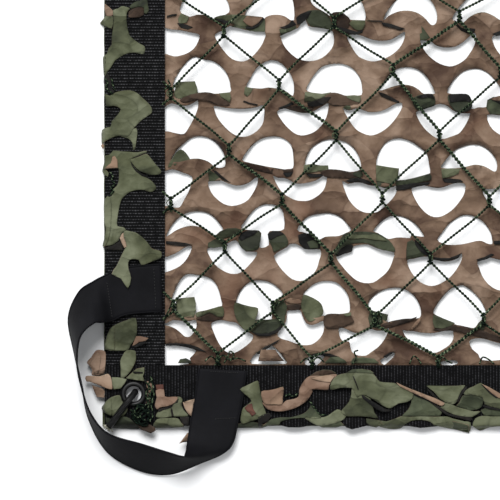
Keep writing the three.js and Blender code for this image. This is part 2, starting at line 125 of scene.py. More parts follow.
class Nodes:
    """A material's node tree with short ways to add to it."""

    def __init__(self, name, roughness, specular=0.5):
        self.material = bpy.data.materials.new(name)
        self.material.use_nodes = True
        self.tree = self.material.node_tree
        self.shader = self.tree.nodes["Principled BSDF"]
        self.shader.inputs["Roughness"].default_value = roughness
        self.shader.inputs["Specular IOR Level"].default_value = specular
        self.place = self.add("ShaderNodeTexCoord").outputs["Object"]

    def add(self, kind, **settings):
        node = self.tree.nodes.new(kind)
        for key, value in settings.items():
            setattr(node, key, value)
        return node

    def link(self, source, target):
        if isinstance(source, (int, float)):
            target.default_value = source
        else:
            self.tree.links.new(source, target)

    def math(self, kind, a, b=0.0, c=0.0):
        node = self.add("ShaderNodeMath", operation=kind)
        for value, socket in zip((a, b, c), node.inputs):
            self.link(value, socket)
        return node.outputs[0]

    def axis(self, letter):
        split = self.add("ShaderNodeSeparateXYZ")
        self.link(self.place, split.inputs[0])
        return split.outputs[letter]

    def wave(self, source, pitch):
        """A sine along source, from 0 to 1, that repeats every pitch metres."""
        angle = self.math("MULTIPLY", source, 2 * math.pi / pitch)
        return self.math("MULTIPLY_ADD", self.math("SINE", angle), 0.5, 0.5)

    def noise(self, scale, detail=3.0, rough=0.55, distortion=0.0, output="Fac"):
        node = self.add("ShaderNodeTexNoise")
        self.link(self.place, node.inputs["Vector"])
        node.inputs["Scale"].default_value = scale
        node.inputs["Detail"].default_value = detail
        node.inputs["Roughness"].default_value = rough
        node.inputs["Distortion"].default_value = distortion
        return node.outputs[output]

    def facets(self, scale, warp, lean):
        """The planes of crumpled cloth: each one's height and tone, and the distance to its edge.

        There are about scale to a metre, bent by up to warp metres and turned by lean degrees."""
        moved = self.add("ShaderNodeVectorMath", operation="MULTIPLY_ADD")
        self.link(self.noise(scale, 2, 0.5, output="Color"), moved.inputs[0])
        moved.inputs[1].default_value = (warp, warp, warp)
        self.link(self.place, moved.inputs[2])
        turned = self.add("ShaderNodeMapping")
        self.link(moved.outputs[0], turned.inputs["Vector"])
        turned.inputs["Rotation"].default_value = (0, 0, math.radians(lean))
        turned.inputs["Scale"].default_value = FACET_STRETCH
        cells = self.add("ShaderNodeTexVoronoi")
        edges = self.add("ShaderNodeTexVoronoi", feature="DISTANCE_TO_EDGE")
        for node in (cells, edges):
            self.link(turned.outputs[0], node.inputs["Vector"])
            node.inputs["Scale"].default_value = scale
        split = self.add("ShaderNodeSeparateColor")
        self.link(cells.outputs["Color"], split.inputs[0])
        return {"height": self.math("POWER", cells.outputs["Distance"], 2.0), "tone": split.outputs[0],
                "edge": edges.outputs["Distance"]}

    def ramp(self, source, *stops):
        node = self.add("ShaderNodeValToRGB")
        self.link(source, node.inputs[0])
        spots = node.color_ramp.elements
        while len(spots) < len(stops):
            spots.new(0.5)
        for element, (position, color) in zip(spots, stops):
            element.position = position
            element.color = (*color, 1)
        return node.outputs[0]

    def mix(self, share, a, b):
        node = self.add("ShaderNodeMix", data_type="RGBA")
        self.link(share, node.inputs["Factor"])
        for value, socket in ((a, node.inputs[6]), (b, node.inputs[7])):
            if isinstance(value, tuple):
                socket.default_value = (*value, 1)
            else:
                self.link(value, socket)
        return node.outputs[2]

    def bump(self, *layers):
        """Bumps one on another, each (height, distance in metres)."""
        normal = None
        for height, distance in layers:
            node = self.add("ShaderNodeBump")
            node.inputs["Strength"].default_value = 1
            node.inputs["Distance"].default_value = distance
            self.link(height, node.inputs["Height"])
            if normal is not None:
                self.link(normal, node.inputs["Normal"])
            normal = node.outputs[0]
        self.link(normal, self.shader.inputs["Normal"])

    def color(self, source):
        self.link(source, self.shader.inputs["Base Color"])


def linear(r, g, b):
    """A colour from its 0 to 255 display values."""
    return tuple(LIGHT_GAIN * (c / 255) ** GAMMA for c in (r, g, b))


def floor_material():
    n = Nodes("floor_white", roughness=0.9, specular=0.1)
    n.color(n.ramp(n.noise(3, 1), (0.3, (0.76, 0.765, 0.77)), (0.7, (0.78, 0.782, 0.785))))
    return n.material


def leaf_material(name, *colors):
    """Knitted camouflage cloth: patchy colour, a fine grid, the facets of crumpled cloth, and painted shade
    along the creases between them.
    """
    dark, middle, light, tint = (linear(*color) for color in colors)
    n = Nodes(name, roughness=0.75, specular=0.2)
    n.shader.inputs["Sheen Weight"].default_value = 0.05
    large, small = n.facets(*LARGE_FACETS), n.facets(*SMALL_FACETS)
    blotch = n.noise(34, 4, 0.55, 0.4)
    for facets, weight in ((large, LARGE_TONE), (small, SMALL_TONE)):
        blotch = n.math("MULTIPLY_ADD", n.math("SUBTRACT", facets["tone"], 0.5), weight, blotch)
    base = n.ramp(blotch, (0.3, dark), (0.5, middle), (0.7, light))
    stain = n.ramp(n.noise(15, 2, 0.5, 1.2), (0.58, BLACK), (0.72, WHITE))
    base = n.mix(n.math("MULTIPLY", stain, STAIN_SHARE), base, tint)
    # Painted shade: darker along the large facets' edges, in broken lines, as if the creases there lay in
    # shadow.
    painted_crease_shade = n.ramp(large["edge"], (0.0, WHITE), (0.045, BLACK))
    broken = n.ramp(n.noise(60, 2), (0.45, BLACK), (0.58, WHITE))
    base = n.mix(n.math("MULTIPLY", n.math("MULTIPLY", painted_crease_shade, broken), CREASE_SHADE_SHARE), base, dark)
    grid = n.math("MULTIPLY", n.wave(n.axis("X"), KNIT_PITCH), n.wave(n.axis("Y"), KNIT_PITCH))
    n.color(n.mix(n.math("MULTIPLY", grid, GRID_SHARE), base, dark))
    n.bump((large["height"], LARGE_DEPTH), (small["height"], SMALL_DEPTH), (n.noise(420, 3), FIBRE_DEPTH))
    return n.material


def webbing_material(name, along, across, pale):
    """Ribbed webbing: ribs across its length, each broken into its own short stitches, with a painted
    highlight on their crests.
    """
    n = Nodes(name, roughness=0.75, specular=0.08)
    rib = n.wave(n.axis(along), RIB_PITCH)
    row = n.math("FLOOR", n.math("MULTIPLY_ADD", n.axis(along), 1 / RIB_PITCH, 0.25))
    shift = n.math("MULTIPLY", n.math("SINE", n.math("MULTIPLY", row, ROW_STEP)), ROW_SHIFT)
    angle = n.math("MULTIPLY_ADD", n.axis(across), 2 * math.pi / RIB_STITCH, shift)
    stitch = n.math("MULTIPLY_ADD", n.math("SINE", angle), 0.2, 0.8)
    high = n.math("MULTIPLY", n.math("POWER", rib, 1.3), stitch)
    # Painted highlight: the rib crests, broken by noise into short dashes, are drawn pale, up to the display
    # value pale.
    rib_highlight = n.math("MULTIPLY", high, n.math("MULTIPLY_ADD", n.noise(230, 5, 0.75), 2.6, -0.55))
    highlight_crest = linear(pale, pale, pale + 2)
    n.color(n.ramp(rib_highlight, (0.0, linear(5, 5, 6)), (0.4, linear(20, 20, 22)), (1.0, highlight_crest)))
    n.bump((high, 0.5 * MM), (n.noise(900, 2), 0.1 * MM))
    return n.material


def tape_material():
    """Smooth close-woven black tape, with a fine twill."""
    n = Nodes("tape_weave", roughness=0.7, specular=0.06)
    twill = n.wave(n.math("ADD", n.axis("X"), n.axis("Y")), TWILL_PITCH)
    shade = n.math("MULTIPLY_ADD", twill, 0.12, n.noise(45, 3))
    n.color(n.ramp(shade, (0.3, linear(23, 23, 25)), (0.8, linear(31, 31, 34))))
    n.bump((twill, 0.05 * MM), (n.noise(150, 3), 0.2 * MM))
    return n.material


def twine_material(name, dark, middle, light):
    """Twine whose fibres catch the light in flecks."""
    n = Nodes(name, roughness=0.85, specular=0.08)
    highlight_fleck = n.noise(420, 4, 0.7, 0.5)
    n.color(n.ramp(highlight_fleck, (0.36, linear(*dark)), (0.55, linear(*middle)), (0.72, linear(*light))))
    n.bump((n.noise(1300, 2), 0.2 * MM))
    return n.material


def plain_material(name, dark, light, roughness, grain, bump, specular=0.5):
    """A mottled colour with a fine grain, grain to a metre."""
    n = Nodes(name, roughness, specular)
    n.color(n.ramp(n.noise(grain / 4, 3), (0.35, linear(*dark)), (0.7, linear(*light))))
    n.bump((n.noise(grain, 3), bump))
    return n.material


def cord_material():
    """Black cord with a fine crossed braid."""
    n = Nodes("cord_braid", roughness=0.42, specular=0.3)
    braid = n.math("MULTIPLY", *(n.wave(n.math(way, n.axis("X"), n.axis("Y")), BRAID_PITCH)
                                 for way in ("ADD", "SUBTRACT")))
    n.color(n.ramp(braid, (0.1, linear(4, 4, 4)), (0.8, linear(17, 17, 18))))
    n.bump((braid, 0.5 * MM), (n.noise(900, 2), 0.1 * MM))
    return n.material


# ---- meshes ----
def same(x, y):
    return x, y


def opposite(x, y):
    """The point turned by half a turn about the panel's middle."""
    return -x, -y


class Cloth:
    """Collects thin closed surfaces and tubes into one mesh. A slot is a face's place among the materials."""

    def __init__(self):
        self.verts, self.faces, self.slots, self.rims = [], [], [], []

    def add(self, points, faces, up=0, down=1, thick=0.45 * MM):
        """Adds one layer, facing up, as a thin closed body with slot up on top and slot down below."""
        points = np.asarray(points, float)
        normals = np.zeros_like(points)
        for face in faces:
            a, b, c = points[face[0]], points[face[1]], points[face[2]]
            normals[list(face)] += np.cross(b - a, c - a)
        lengths = np.linalg.norm(normals, axis=1)
        lengths[lengths == 0] = 1
        below = points - normals / lengths[:, None] * thick
        first, count = len(self.verts), len(points)
        self.verts.extend(map(tuple, points))
        self.verts.extend(map(tuple, below))
        edges = {}
        for face in faces:
            self.faces.append([first + i for i in face])
            self.slots.append(up)
            self.faces.append([first + count + i for i in reversed(face)])
            self.slots.append(down)
            for a, b in zip(face, (*face[1:], face[0])):
                edges[a, b] = True
        for a, b in edges:
            if (b, a) not in edges:
                self.rims.append(len(self.faces))
                self.faces.append([first + a, first + count + a, first + count + b, first + b])
                self.slots.append(down)

    def add_tube(self, path, radius, sides=6, up=0, wobble=0.0, turns=0.0):
        """A tube along path. With wobble its section is flattened and turns, like twisted strands."""
        path = [Vector(p) for p in path]
        rings = []
        for i, point in enumerate(path):
            ahead = path[min(i + 1, len(path) - 1)] - path[max(i - 1, 0)]
            ahead.normalize()
            side = ahead.cross(Vector((0, 0, 1)))
            side = side.normalized() if side.length > 1e-4 else Vector((1, 0, 0))
            over = side.cross(ahead)
            spin = 2 * math.pi * turns * i / max(len(path) - 1, 1)
            ring = []
            for k in range(sides):
                angle = 2 * math.pi * k / sides
                reach = radius * (1 + wobble * math.cos(2 * (angle - spin)))
                ring.append(point + (side * math.cos(angle) + over * math.sin(angle)) * reach)
            rings.append(ring)
        first = len(self.verts)
        self.verts.extend(tuple(p) for ring in rings for p in ring)
        for i in range(len(rings) - 1):
            for k in range(sides):
                a, b = first + i * sides + k, first + i * sides + (k + 1) % sides
                self.faces.append([a, b, b + sides, a + sides])
                self.slots.append(up)
        end = first + (len(rings) - 1) * sides
        self.faces.append([first + k for k in reversed(range(sides))])
        self.faces.append([end + k for k in range(sides)])
        self.slots.extend([up, up])

    def make(self, name, *materials):
        mesh = bpy.data.meshes.new(name)
        mesh.from_pydata(self.verts, [], self.faces)
        mesh.polygons.foreach_set("material_index", self.slots)
        smooth = np.ones(len(self.faces), bool)
        smooth[self.rims] = False
        mesh.polygons.foreach_set("use_smooth", smooth)
        for material in materials:
            mesh.materials.append(material)
        mesh.update()
        return add_to_scene(name, mesh)


def inside(points, outline):
    """Which of the points lie inside the closed outline."""
    x, y = points[:, 0], points[:, 1]
    found = np.zeros(len(points), bool)
    for (x0, y0), (x1, y1) in zip(outline, np.roll(outline, -1, axis=0)):
        if y0 != y1:
            found ^= ((y0 > y) != (y1 > y)) & (x < (x1 - x0) * (y - y0) / (y1 - y0) + x0)
    return found


def spline(a, b, c, d, t):
    """The smooth curve through four points, at the share t of the way from b to c."""
    bend, twist = 2 * a - 5 * b + 4 * c - d, 3 * b - a - 3 * c + d
    return 0.5 * (2 * b + (c - a) * t + bend * t ** 2 + twist * t ** 3)


def rounded(outline):
    """A smooth closed curve through the outline's points, with one more point between each two."""
    points = [Vector(p) for p in outline]
    curve = []
    for i in range(len(points)):
        near = [points[(i + k) % len(points)] for k in (-1, 0, 1, 2)]
        curve.extend(tuple(spline(*near, t)) for t in (0.0, 0.5))
    return curve


def through(points, steps):
    """A smooth open curve through points, with steps to each stretch."""
    points = [Vector(p) for p in points]
    last = len(points) - 1
    path = []
    for i in range(last):
        near = points[max(i - 1, 0)], points[i], points[i + 1], points[min(i + 2, last)]
        path.extend(spline(*near, step / steps) for step in range(steps))
    return [*path, points[last]]


def fill(outline, spacing):
    """Fills an outline with triangles about spacing apart: points and faces, all facing up."""
    outline = np.array(outline)
    low, high = outline.min(0), outline.max(0)
    columns = np.arange(low[0] + spacing / 2, high[0], spacing)
    rows = np.arange(low[1] + spacing / 2, high[1], spacing * 0.87)      # as in a grid of equal triangles
    grid = [(x + (k % 2) * spacing / 2, y) for k, y in enumerate(rows) for x in columns]
    grid = np.array(grid).reshape(-1, 2)
    if len(grid):
        grid = grid[inside(grid, outline)]
    if len(grid):
        gaps = np.linalg.norm(grid[:, None] - outline[None], axis=2).min(1)
        grid = grid[gaps > spacing * 0.45]
    points = [Vector(p) for p in (*outline, *grid)]
    edges = [(i, (i + 1) % len(outline)) for i in range(len(outline))]
    made, _, faces, *_ = delaunay_2d_cdt(points, edges, [], 0, 1e-7)
    made = np.array([tuple(p) for p in made])
    centres = np.array([made[list(face)].mean(0) for face in faces])
    keep = inside(centres, outline)
    return made, [tuple(face) for face, kept in zip(faces, keep) if kept]


def unevenness(u, v, layer):
    return noise.noise(Vector((u, v, layer)))


def crumple(x, y):
    """Uneven heights with sharp folds, mostly from -1 to 1."""
    soft = unevenness(x * 55, y * 55, 3.1) + 0.6 * unevenness(x * 140, y * 140, 7.7)
    fold = abs(unevenness(x * 34 + y * 16, y * 58 - x * 20, 5.2))
    cross = abs(unevenness(x * 70 - y * 45, y * 40, 1.7))
    return soft + 0.6 - 2.4 * fold - 1.2 * cross


# ---- the leaf-cut sheet ----
PITCH, ROW, BAND = 56 * MM, 61 * MM, 11.7 * MM   # from cut to cut, from row to row, and from dome to bowl
TURN = math.radians(-2.2)          # the rows' slope
FIRST_DOME = (26 * MM - HALF + WEB, 42.7 * MM - HALF + WEB)
CUT_WIDTH, DOME, BOWL = 21.3 * MM, 26 * MM, 24.5 * MM   # half a cut's width, and the heights of both forms
CUT_STEPS, EDGE_STEPS = 22, 10     # points round a cut and along its straight side
CUT_POWER = 2 / 2.3                # under 1 makes a cut squarer than a half round
CUT_ROWS, CUT_COLUMNS = range(-1, 12), range(-2, 13)    # enough to cover the sheet
DRAWN_RIGHT, DRAWN_TOP = spot(VIEW + 4, -8)     # the cuts below and left of here are drawn one by one
SMALLEST_CUT, CLEAR_OF_DRAWN = 8.5 * MM, 22 * MM
PLACE_SPREAD, SIZE_SPREAD = (3 * MM, 2.4 * MM), 0.12    # how unevenly the other cuts lie and are sized
LIFT, LIFT_SPREAD, ROLL, ROLL_SPREAD = 3.5, 5, 3, 4     # of their edges, in mm
RIM = 4 * MM                       # what stays whole along the sheet's edge
FINE, COARSE = 2.6 * MM, 5 * MM    # the mesh's spacing in the seen quarter and beyond it
SHEET_LEVEL, LEVEL_UNDER_WEBBING, LOWEST = 3.2 * MM, 1.1 * MM, 0.8 * MM
SHEET_WAVES = (     # each one's height, its number to a metre in x and y, and its layer of the noise
    (1.5 * MM, 24, 24, 0.5), (0.9 * MM, 52, 80, 4.4), (0.35 * MM, 150, 190, 2.4),
)
SHEET_EDGE, SHEET_SLOPE = 20 * MM, 12 * MM      # where the sheet turns down at its edge, and over what width
LIFT_REACH, ROLL_REACH = 11 * MM, 4.5 * MM      # how far from a cut its cloth lifts, and rolls down
CLEAR_OF_CUT = 1.2 * MM            # no mesh point lies closer than this to a cut
SHORTEST_EDGE = 0.3 * MM
CLEAR_OF_EDGE = 34 * MM            # loose ends keep this far from the sheet's edge
FINE_END, COARSE_END = 2.2 * MM, 3 * MM         # their mesh's spacing
END_CRUMPLE, END_RISE = 0.4 * MM, 0.3 * MM
FLAP_FORMS = "m.sg.mc.ml.s.mg."    # which loose end hangs at a cut that the picture doesn't show
FLAP_BOWS = {"m": 9 * MM, "l": 7 * MM, "s": 4 * MM}     # how far such a cut's straight side is bowed

# Each row is one cut of the seen quarter: its form, how far its loose edge lifts in mm, how far the cloth
# at its far side rolls down in mm, and its outline as x,y pairs in the picture's units, from the left and
# along its loose edge first.
SEEN_CUTS = read_rows([
    ("dome", 2, 2, "180,11 184,15 190,17 197,15 205,15.5 213,19 221,16.5 229,12.5 229,6 226,-1 218,-8 "
     "206,-12 194,-9 184,0 181,6"),
    ("dome", -1, 2, "245,14 250,19 262,20 266,17 272,15 280,15 286,17 290,20 294,20 294,8 291,-4 280,-12 "
     "266,-10 256,-2 250,6"),
    ("dome", 2, 2, "311,2 315,7 320,10 327,14 332,17 345,16 350,20 358,21 365,20.5 365,12 362,3 355,-6 "
     "340,-13 322,-12 311,-6"),
    ("dome", 3, 2, "383,21 388,16.5 394,13.5 400,11.5 408,11 415,12.5 421,15.5 426,20 430,24.5 433,25.5 "
     "436,23 437,16 435,8 430,0 420,-7 408,-8 400,-3 392,5 386,13"),
    ("dome", 5, 2, "452,19 457,22 463,23 468,18.5 474,15 481,13 487,13.8 494,17 501,21 506,16 508,6 500,-5 "
     "487,-11 474,-6 464,2 457,10"),
    ("bowl", 2, 0, "160,29 170,29.5 181,30.5 192,33 199.5,35 198,42 194,48.5 188,53 181,55.5 174,56.5 "
     "166,54 160,52"),
    ("bowl", 2, 0, "215,34.5 222,31 230,26 238,28 250,31 265,32 264,40 260.5,47 254,55 247,60.5 240,61.5 "
     "232,59 226,53.5 221,47 216.5,40"),
    ("bowl", 2, 0, "280,36 290,32 296,29 299,27 305,18.5 308,26 318,28 330,30 333,33 334,40 333,46 329,52 "
     "322,58 313,61 305,61 296,58 288,51 283,44 281,38"),
    ("bowl", 4, 0, "347,38 350,35 356,34.5 362,36 368,38.5 375,40.5 382,41 390,40 397,36.5 404,32 405,35 "
     "403,42 399,48.5 393,54 387,57.5 381,60 374,61.5 367,60.5 359,57 354,51 350,44"),
    ("bowl", 4, 0, "420,40.5 426,41 431,41 434,44.5 440,47 447,47.8 455,46.8 461,43.5 466,39.5 470,36 "
     "474,33 476,36 474,46 470,53 466,58.5 461,62.5 455,65.5 449,66.5 440,64 432,59 426,53 422,46.5"),
    ("bowl", 3, 0, "492,37 500,34 520,34 540,36 541,44 534,56 520,62 506,60 497,51 493,43"),


    ("dome", 2, 3, "178,99 188,97 197,93.5 205,93 214,94 230,92.5 230.5,87 229,79 225,71 219,65 212,61 "
     "205,60 196,57 190,59.5 184,65.5 178,74 173,84"),
    ("dome", 5, 1, "246,87 254,88.5 262,89 268,88 276,89 283,90.5 288,93 293,96 294,88 293,80 289,72 "
     "284,66 278,61.5 270,60.5 262,64 256,69 250,79"),
    ("dome", 2, 1, "306,90 313,93 322,94 331,92.8 338,93.5 344,95.5 352,96 361.5,95 362,88 361,81 358,75 "
     "353,69 346,65 338,63.8 330,64.5 322,67 315,74 309,83"),
    ("dome", 4, 5, "378,90.5 385,89.5 391,87.5 399,85.5 406,85.3 413,87 419,90.5 424,94.5 434.5,94 434,91 "
     "430,82 425,75.5 418,70 410,67.5 401,68 394,71 388,77 383,83"),
    ("dome", 2, 5, "447,93 460,95 470,98 471,109 478,107.5 487,107 490,100 506,99 503,92 497,83 491,76 "
     "485,71.5 478,69 470,69.5 463,72 457,77 451,84"),
    ("bowl", 2, 0, "160,110 165,107 171,103.5 178,105 186,106 193,103.5 198,100.5 198,108 195,116 192,122 "
     "188,129 184,134 177,133.5 169,131.5 160,129"),
    ("bowl", 3, 0, "214,106 222,107.5 231,108.5 240,109 250,108.5 258,107 264,105.5 264,118 262,125 "
     "257,131 250,135.5 243,137 236,135.5 229,131 222,124 217,117 214.5,110"),
    ("bowl", 3, 0, "277,111.5 284,108.5 290,110 297,112 304,113 311,112 317,109.5 323,106 328.5,103 "
     "328,110 326,118 321,126 315,131.5 308,134.5 301,135.5 294,133 286,126 280,118"),
    ("bowl", 4, 0, "343,108 349,110.5 356,108.5 361,109.5 368,112 376,112 383,110.5 389,107.5 394,104.5 "
     "401,102.5 402,107 398,115 392,123 385,129.5 377,134 370,135.5 362,133 355,128.5 349,120 345,113"),
    ("bowl", 2, 0, "416,112 424,109.5 433,106 440,104 447,106 452,110 459,113 468,113.5 470,114 467,122 "
     "462,130 458,134 450,137 444,139 436,138 429,133 423,127 418,119"),
    ("bowl", 2, 0, "487,115 500,115.5 520,114 540,113 540,122 534,132 522,139 508,138 497,133 490,126"),


    ("dome", 4, 4, "171,161 180,162 190,159.5 198,159 205,160.5 210,163 214,166.5 219,168 225,166.5 "
     "225,159 223,152 218,145 212,140 205,137 198,136.5 191,138.5 185,143 179,148 174,154"),
    ("dome", 3, 1, "242,160 248,162.5 258,165 270,167.5 281,169.5 288,169 293,168 293.5,161 293,153 "
     "291,145 286,140 279,137 271,136.7 264,138 257,141.5 251,147 246,153"),
    ("dome", 2, 4, "305,163 306,168 318,168 328,170 335,169.5 342,170.5 350,172 357,171 361,168 360,160 "
     "357,153 352,147 345,142 337,140 330,139.5 322,141.5 316,145 311,149 307,156"),
    ("dome", 2, 4, "376,164 377,182 385,183 396,181 405,180 414,178 423,175.5 430,173 429,165 428,158 "
     "426,153 420,148 413,143 405,139.5 398,138.5 391,140 385,144 380,151 377,158"),
    ("dome", 4, 6, "441,168 455,168.5 466,167 474,165 482,166 488,168.5 493,171.5 496,171 497,166 496,160 "
     "491,153 485,148 478,145 470,145 463,147 456,150 450,155 444,162"),
    ("bowl", 2, 0, "160,173 166,171 173,169.5 182,172.5 192,176.5 191.5,184 188,193 184,200 180,207 "
     "174,207.5 167,206 160,203"),
    ("bowl", 5, 0, "208,182 215,181 221,180.5 225,182 230,184 236,185.5 243,185 250,182 255,178 258,178 "
     "257,185 253,193 248,200 241,204 232,206 224,204 217,199 211,192"),
    ("bowl", 2, 0, "273,176 278,178 284,178 290,180.5 296,183.5 303,183.5 311,182 318,179.5 323,176 "
     "327,176 325,187 321,193 316,197 309,200.5 302,201 295,200 287,196 281,191 276,183"),
    ("bowl", 2, 0, "342,181 348,184 355,182.5 362,183 368,185 375,186 385,187 397,186 396,193 392,199 "
     "387,204 382,208.5 377,212 370,213 363,212 356,208 349,200 345,191"),
    ("bowl", 3, 0, "412,188 418,186.5 424,185.5 430,187 437,188 444,187 450,184.5 456,183 462,183 465,185 "
     "465,190 463,196 459,202 454,208 448,213 441,216.5 434,217 427,214 420,207 415,199 412,192"),
    ("bowl", 2, 0, "482,190 492,189 505,187 525,188 538,190 538,199 531,208 520,214 508,214.5 498,211 "
     "491,206 486,199"),


    ("dome", -2, 4, "166,237 174,231.5 181,228 189,226 196,226 203,228 209,231 214,234.5 217,235 222,231 "
     "223,228.5 219,223 214,217.5 208,213.5 201,211.7 193,211.7 186,213.5 180,217 174,223 169,230"),
    ("dome", 2, 2, "241,229 259,231 261,236 259,246 262,248 269,245 268,236 270,231 277,231 284,229 "
     "284,218 282,210 277,206 270,204.5 263,205 256,208.5 250,214.5 245,221.5"),
    ("dome", 1, 5, "297,230 304,232.5 313,236 318,240 325,237 332,236.5 339,236 346,233 351,230 347,224 "
     "341,218 334,214.5 326,213.5 317,214.5 309,216.5 302,222"),
    ("dome", -1, 4, "373,231 378,233 384,237 389,239 396,237.5 403,237.5 410,238 411,235 417,236 424,236.5 "
     "421,231 417,226 411,221 404,217.5 397,216 390,216.5 383,220.5 377,226"),
    ("dome", -1, 2, "437,240 443,243.5 450,245 460,244.5 468,243 476,241 482,241 487,243.5 492,244 492,240 "
     "491,234 488,228 482,221 475,217 467,215 460,216.5 453,221 447,226 441,234"),
    ("bowl", 3, 0, "160,258 166,257 172,255 178,252 184,248 189,246 192,247 190,253 186,260 180,266 "
     "172,270 166,272 160,273"),
    ("bowl", 2, 0, "207,249 214,247.5 222,246 230,242 236,240 240,245 246,251.5 257,252 255,258 250,264 "
     "244,270 238,273.5 230,273.5 222,270 215,264.5 210,257"),
    ("bowl", 2, 0, "274,256 280,251 287,247 290,244 296,244 300,246 305,249 312,249.5 320,249.5 321,254 "
     "319,261 317,268 313,274 307,279 300,281 292,279 285,273 279,266"),
    ("bowl", 2, 0, "336,257 343,254 351,252 353,247 356,245.5 362,244.5 368,244.5 374,247 382,250 "
     "394,252.5 393,259 390,267 386,273 380,278 373,282.5 364,283 356,280 349,274 342,266"),
    ("bowl", 4, 0, "407,260 413,259 420,257 427,256.5 431,259 438,260.5 445,261.5 452,260.5 457,258 "
     "462,253.5 461,261 456,270 450,277 443,282 435,285.5 428,285.5 420,282 414,276 409,268"),
    ("bowl", 3, 0, "477,262 484,259.5 490,257.5 498,259.5 515,262 530,262 531,272 526,282 517,288.5 "
     "506,291 496,289.5 488,284 482,276 479,268"),


    ("dome", 2, 1, "172,299 178,316 190,316 197,313.5 204,312 213,309.5 222,306.5 221,299 219,291 216,284 "
     "211,279 205,276.5 197,275 189,274 184,276 179,282 175,290.5"),
    ("dome", 2, 3, "236,302 236,312 240,322 250,323 262,320 272,319 271,309 273,303 279,299 283,294 "
     "278,288 272,283.5 265,281 257,280.5 250,282 244,287 239,294"),
    ("dome", 3, 1, "303,296 305,314 314,318 322,316 330,315 338,314 347,313 350,310 349,299 346,292 "
     "341,286 335,282 327,281 319,282 312,285.5 306,291"),
    ("dome", 3, 3, "368,304 372,311 380,318 388,322 394,321 402,319 410,318.5 419,318 421,314 420,307 "
     "417,300 413,295 407,290.5 400,288 392,288 385,289.5 378,293 372,298"),
    ("dome", 3, 1, "433,313 441,317.5 450,322 458,325.5 467,327 474,328 478,323 482,319 486,314 484,307 "
     "480,300 475,294 469,289 463,285.5 458,286 452,288 446,293 440,300 436,306"),
    ("bowl", 2, 0, "160,324 167,323 173,320 182,321 190,321 196,320 196.5,327 194,332 190,336.5 185,336.5 "
     "181,333 176,329 169,326"),
    ("bowl", 3, 0, "211,324 216,321 222,320 229,321.5 236,322.5 240,326 246,331 253,335 252,340 247,345 "
     "240,350 235,352.5 229,353 223,349 218,342 214,333"),
    ("bowl", 2, 0, "277,334 281,329 285,323 287,317 287,311 294,310.5 300,310 302,315 306,323 312,325 "
     "318,323 323,321 324,328 322,335 317,341 311,344.5 303,345 295,343 288,340.5 281,338.5"),
    ("bowl", 3, 0, "339,328 345,328.5 351,331.5 357,333 363,331 369,328 376,330.5 384,330 389,328 387,334 "
     "384,340 378,347 371,352 366,355.5 358,355.5 352,352 350,346 349,341.5 342,340.5 339,334"),
    ("bowl", 3, 0, "402,330 407,331 413,331 421,332.5 430,333 438,332 446,330 451,327.5 453,332 453,339 "
     "449,345 443,349 436,352.5 428,352 420,349 412,343 406,337"),
    ("bowl", 3, 0, "469,342 472,339 479,338 487,339.5 495,342 505,345 508,352 500,360 482,360 478,354 "
     "472,349"),


    ("dome", 1, 3, "160,366 188,364 190,358 194,354 196,350 191,347.5 182,345.5 170,345 160,346"),
    ("dome", 1, 0, "252,358 252,364 285,364 285,360 280,353 275,347.5 269,345 263,348 257,353"),
    ("dome", 1, 0, "304,362 309,366 316,366 322,360 325,355 318,354.5 310,356"),
    ("dome", 1, 0, "380,361 384,365 388,362 393,357 395,352.5 390,354 385,357"),
    ("dome", 1, 0, "439,363 447,366 457,364 456,360.5 446,360.5"),
])
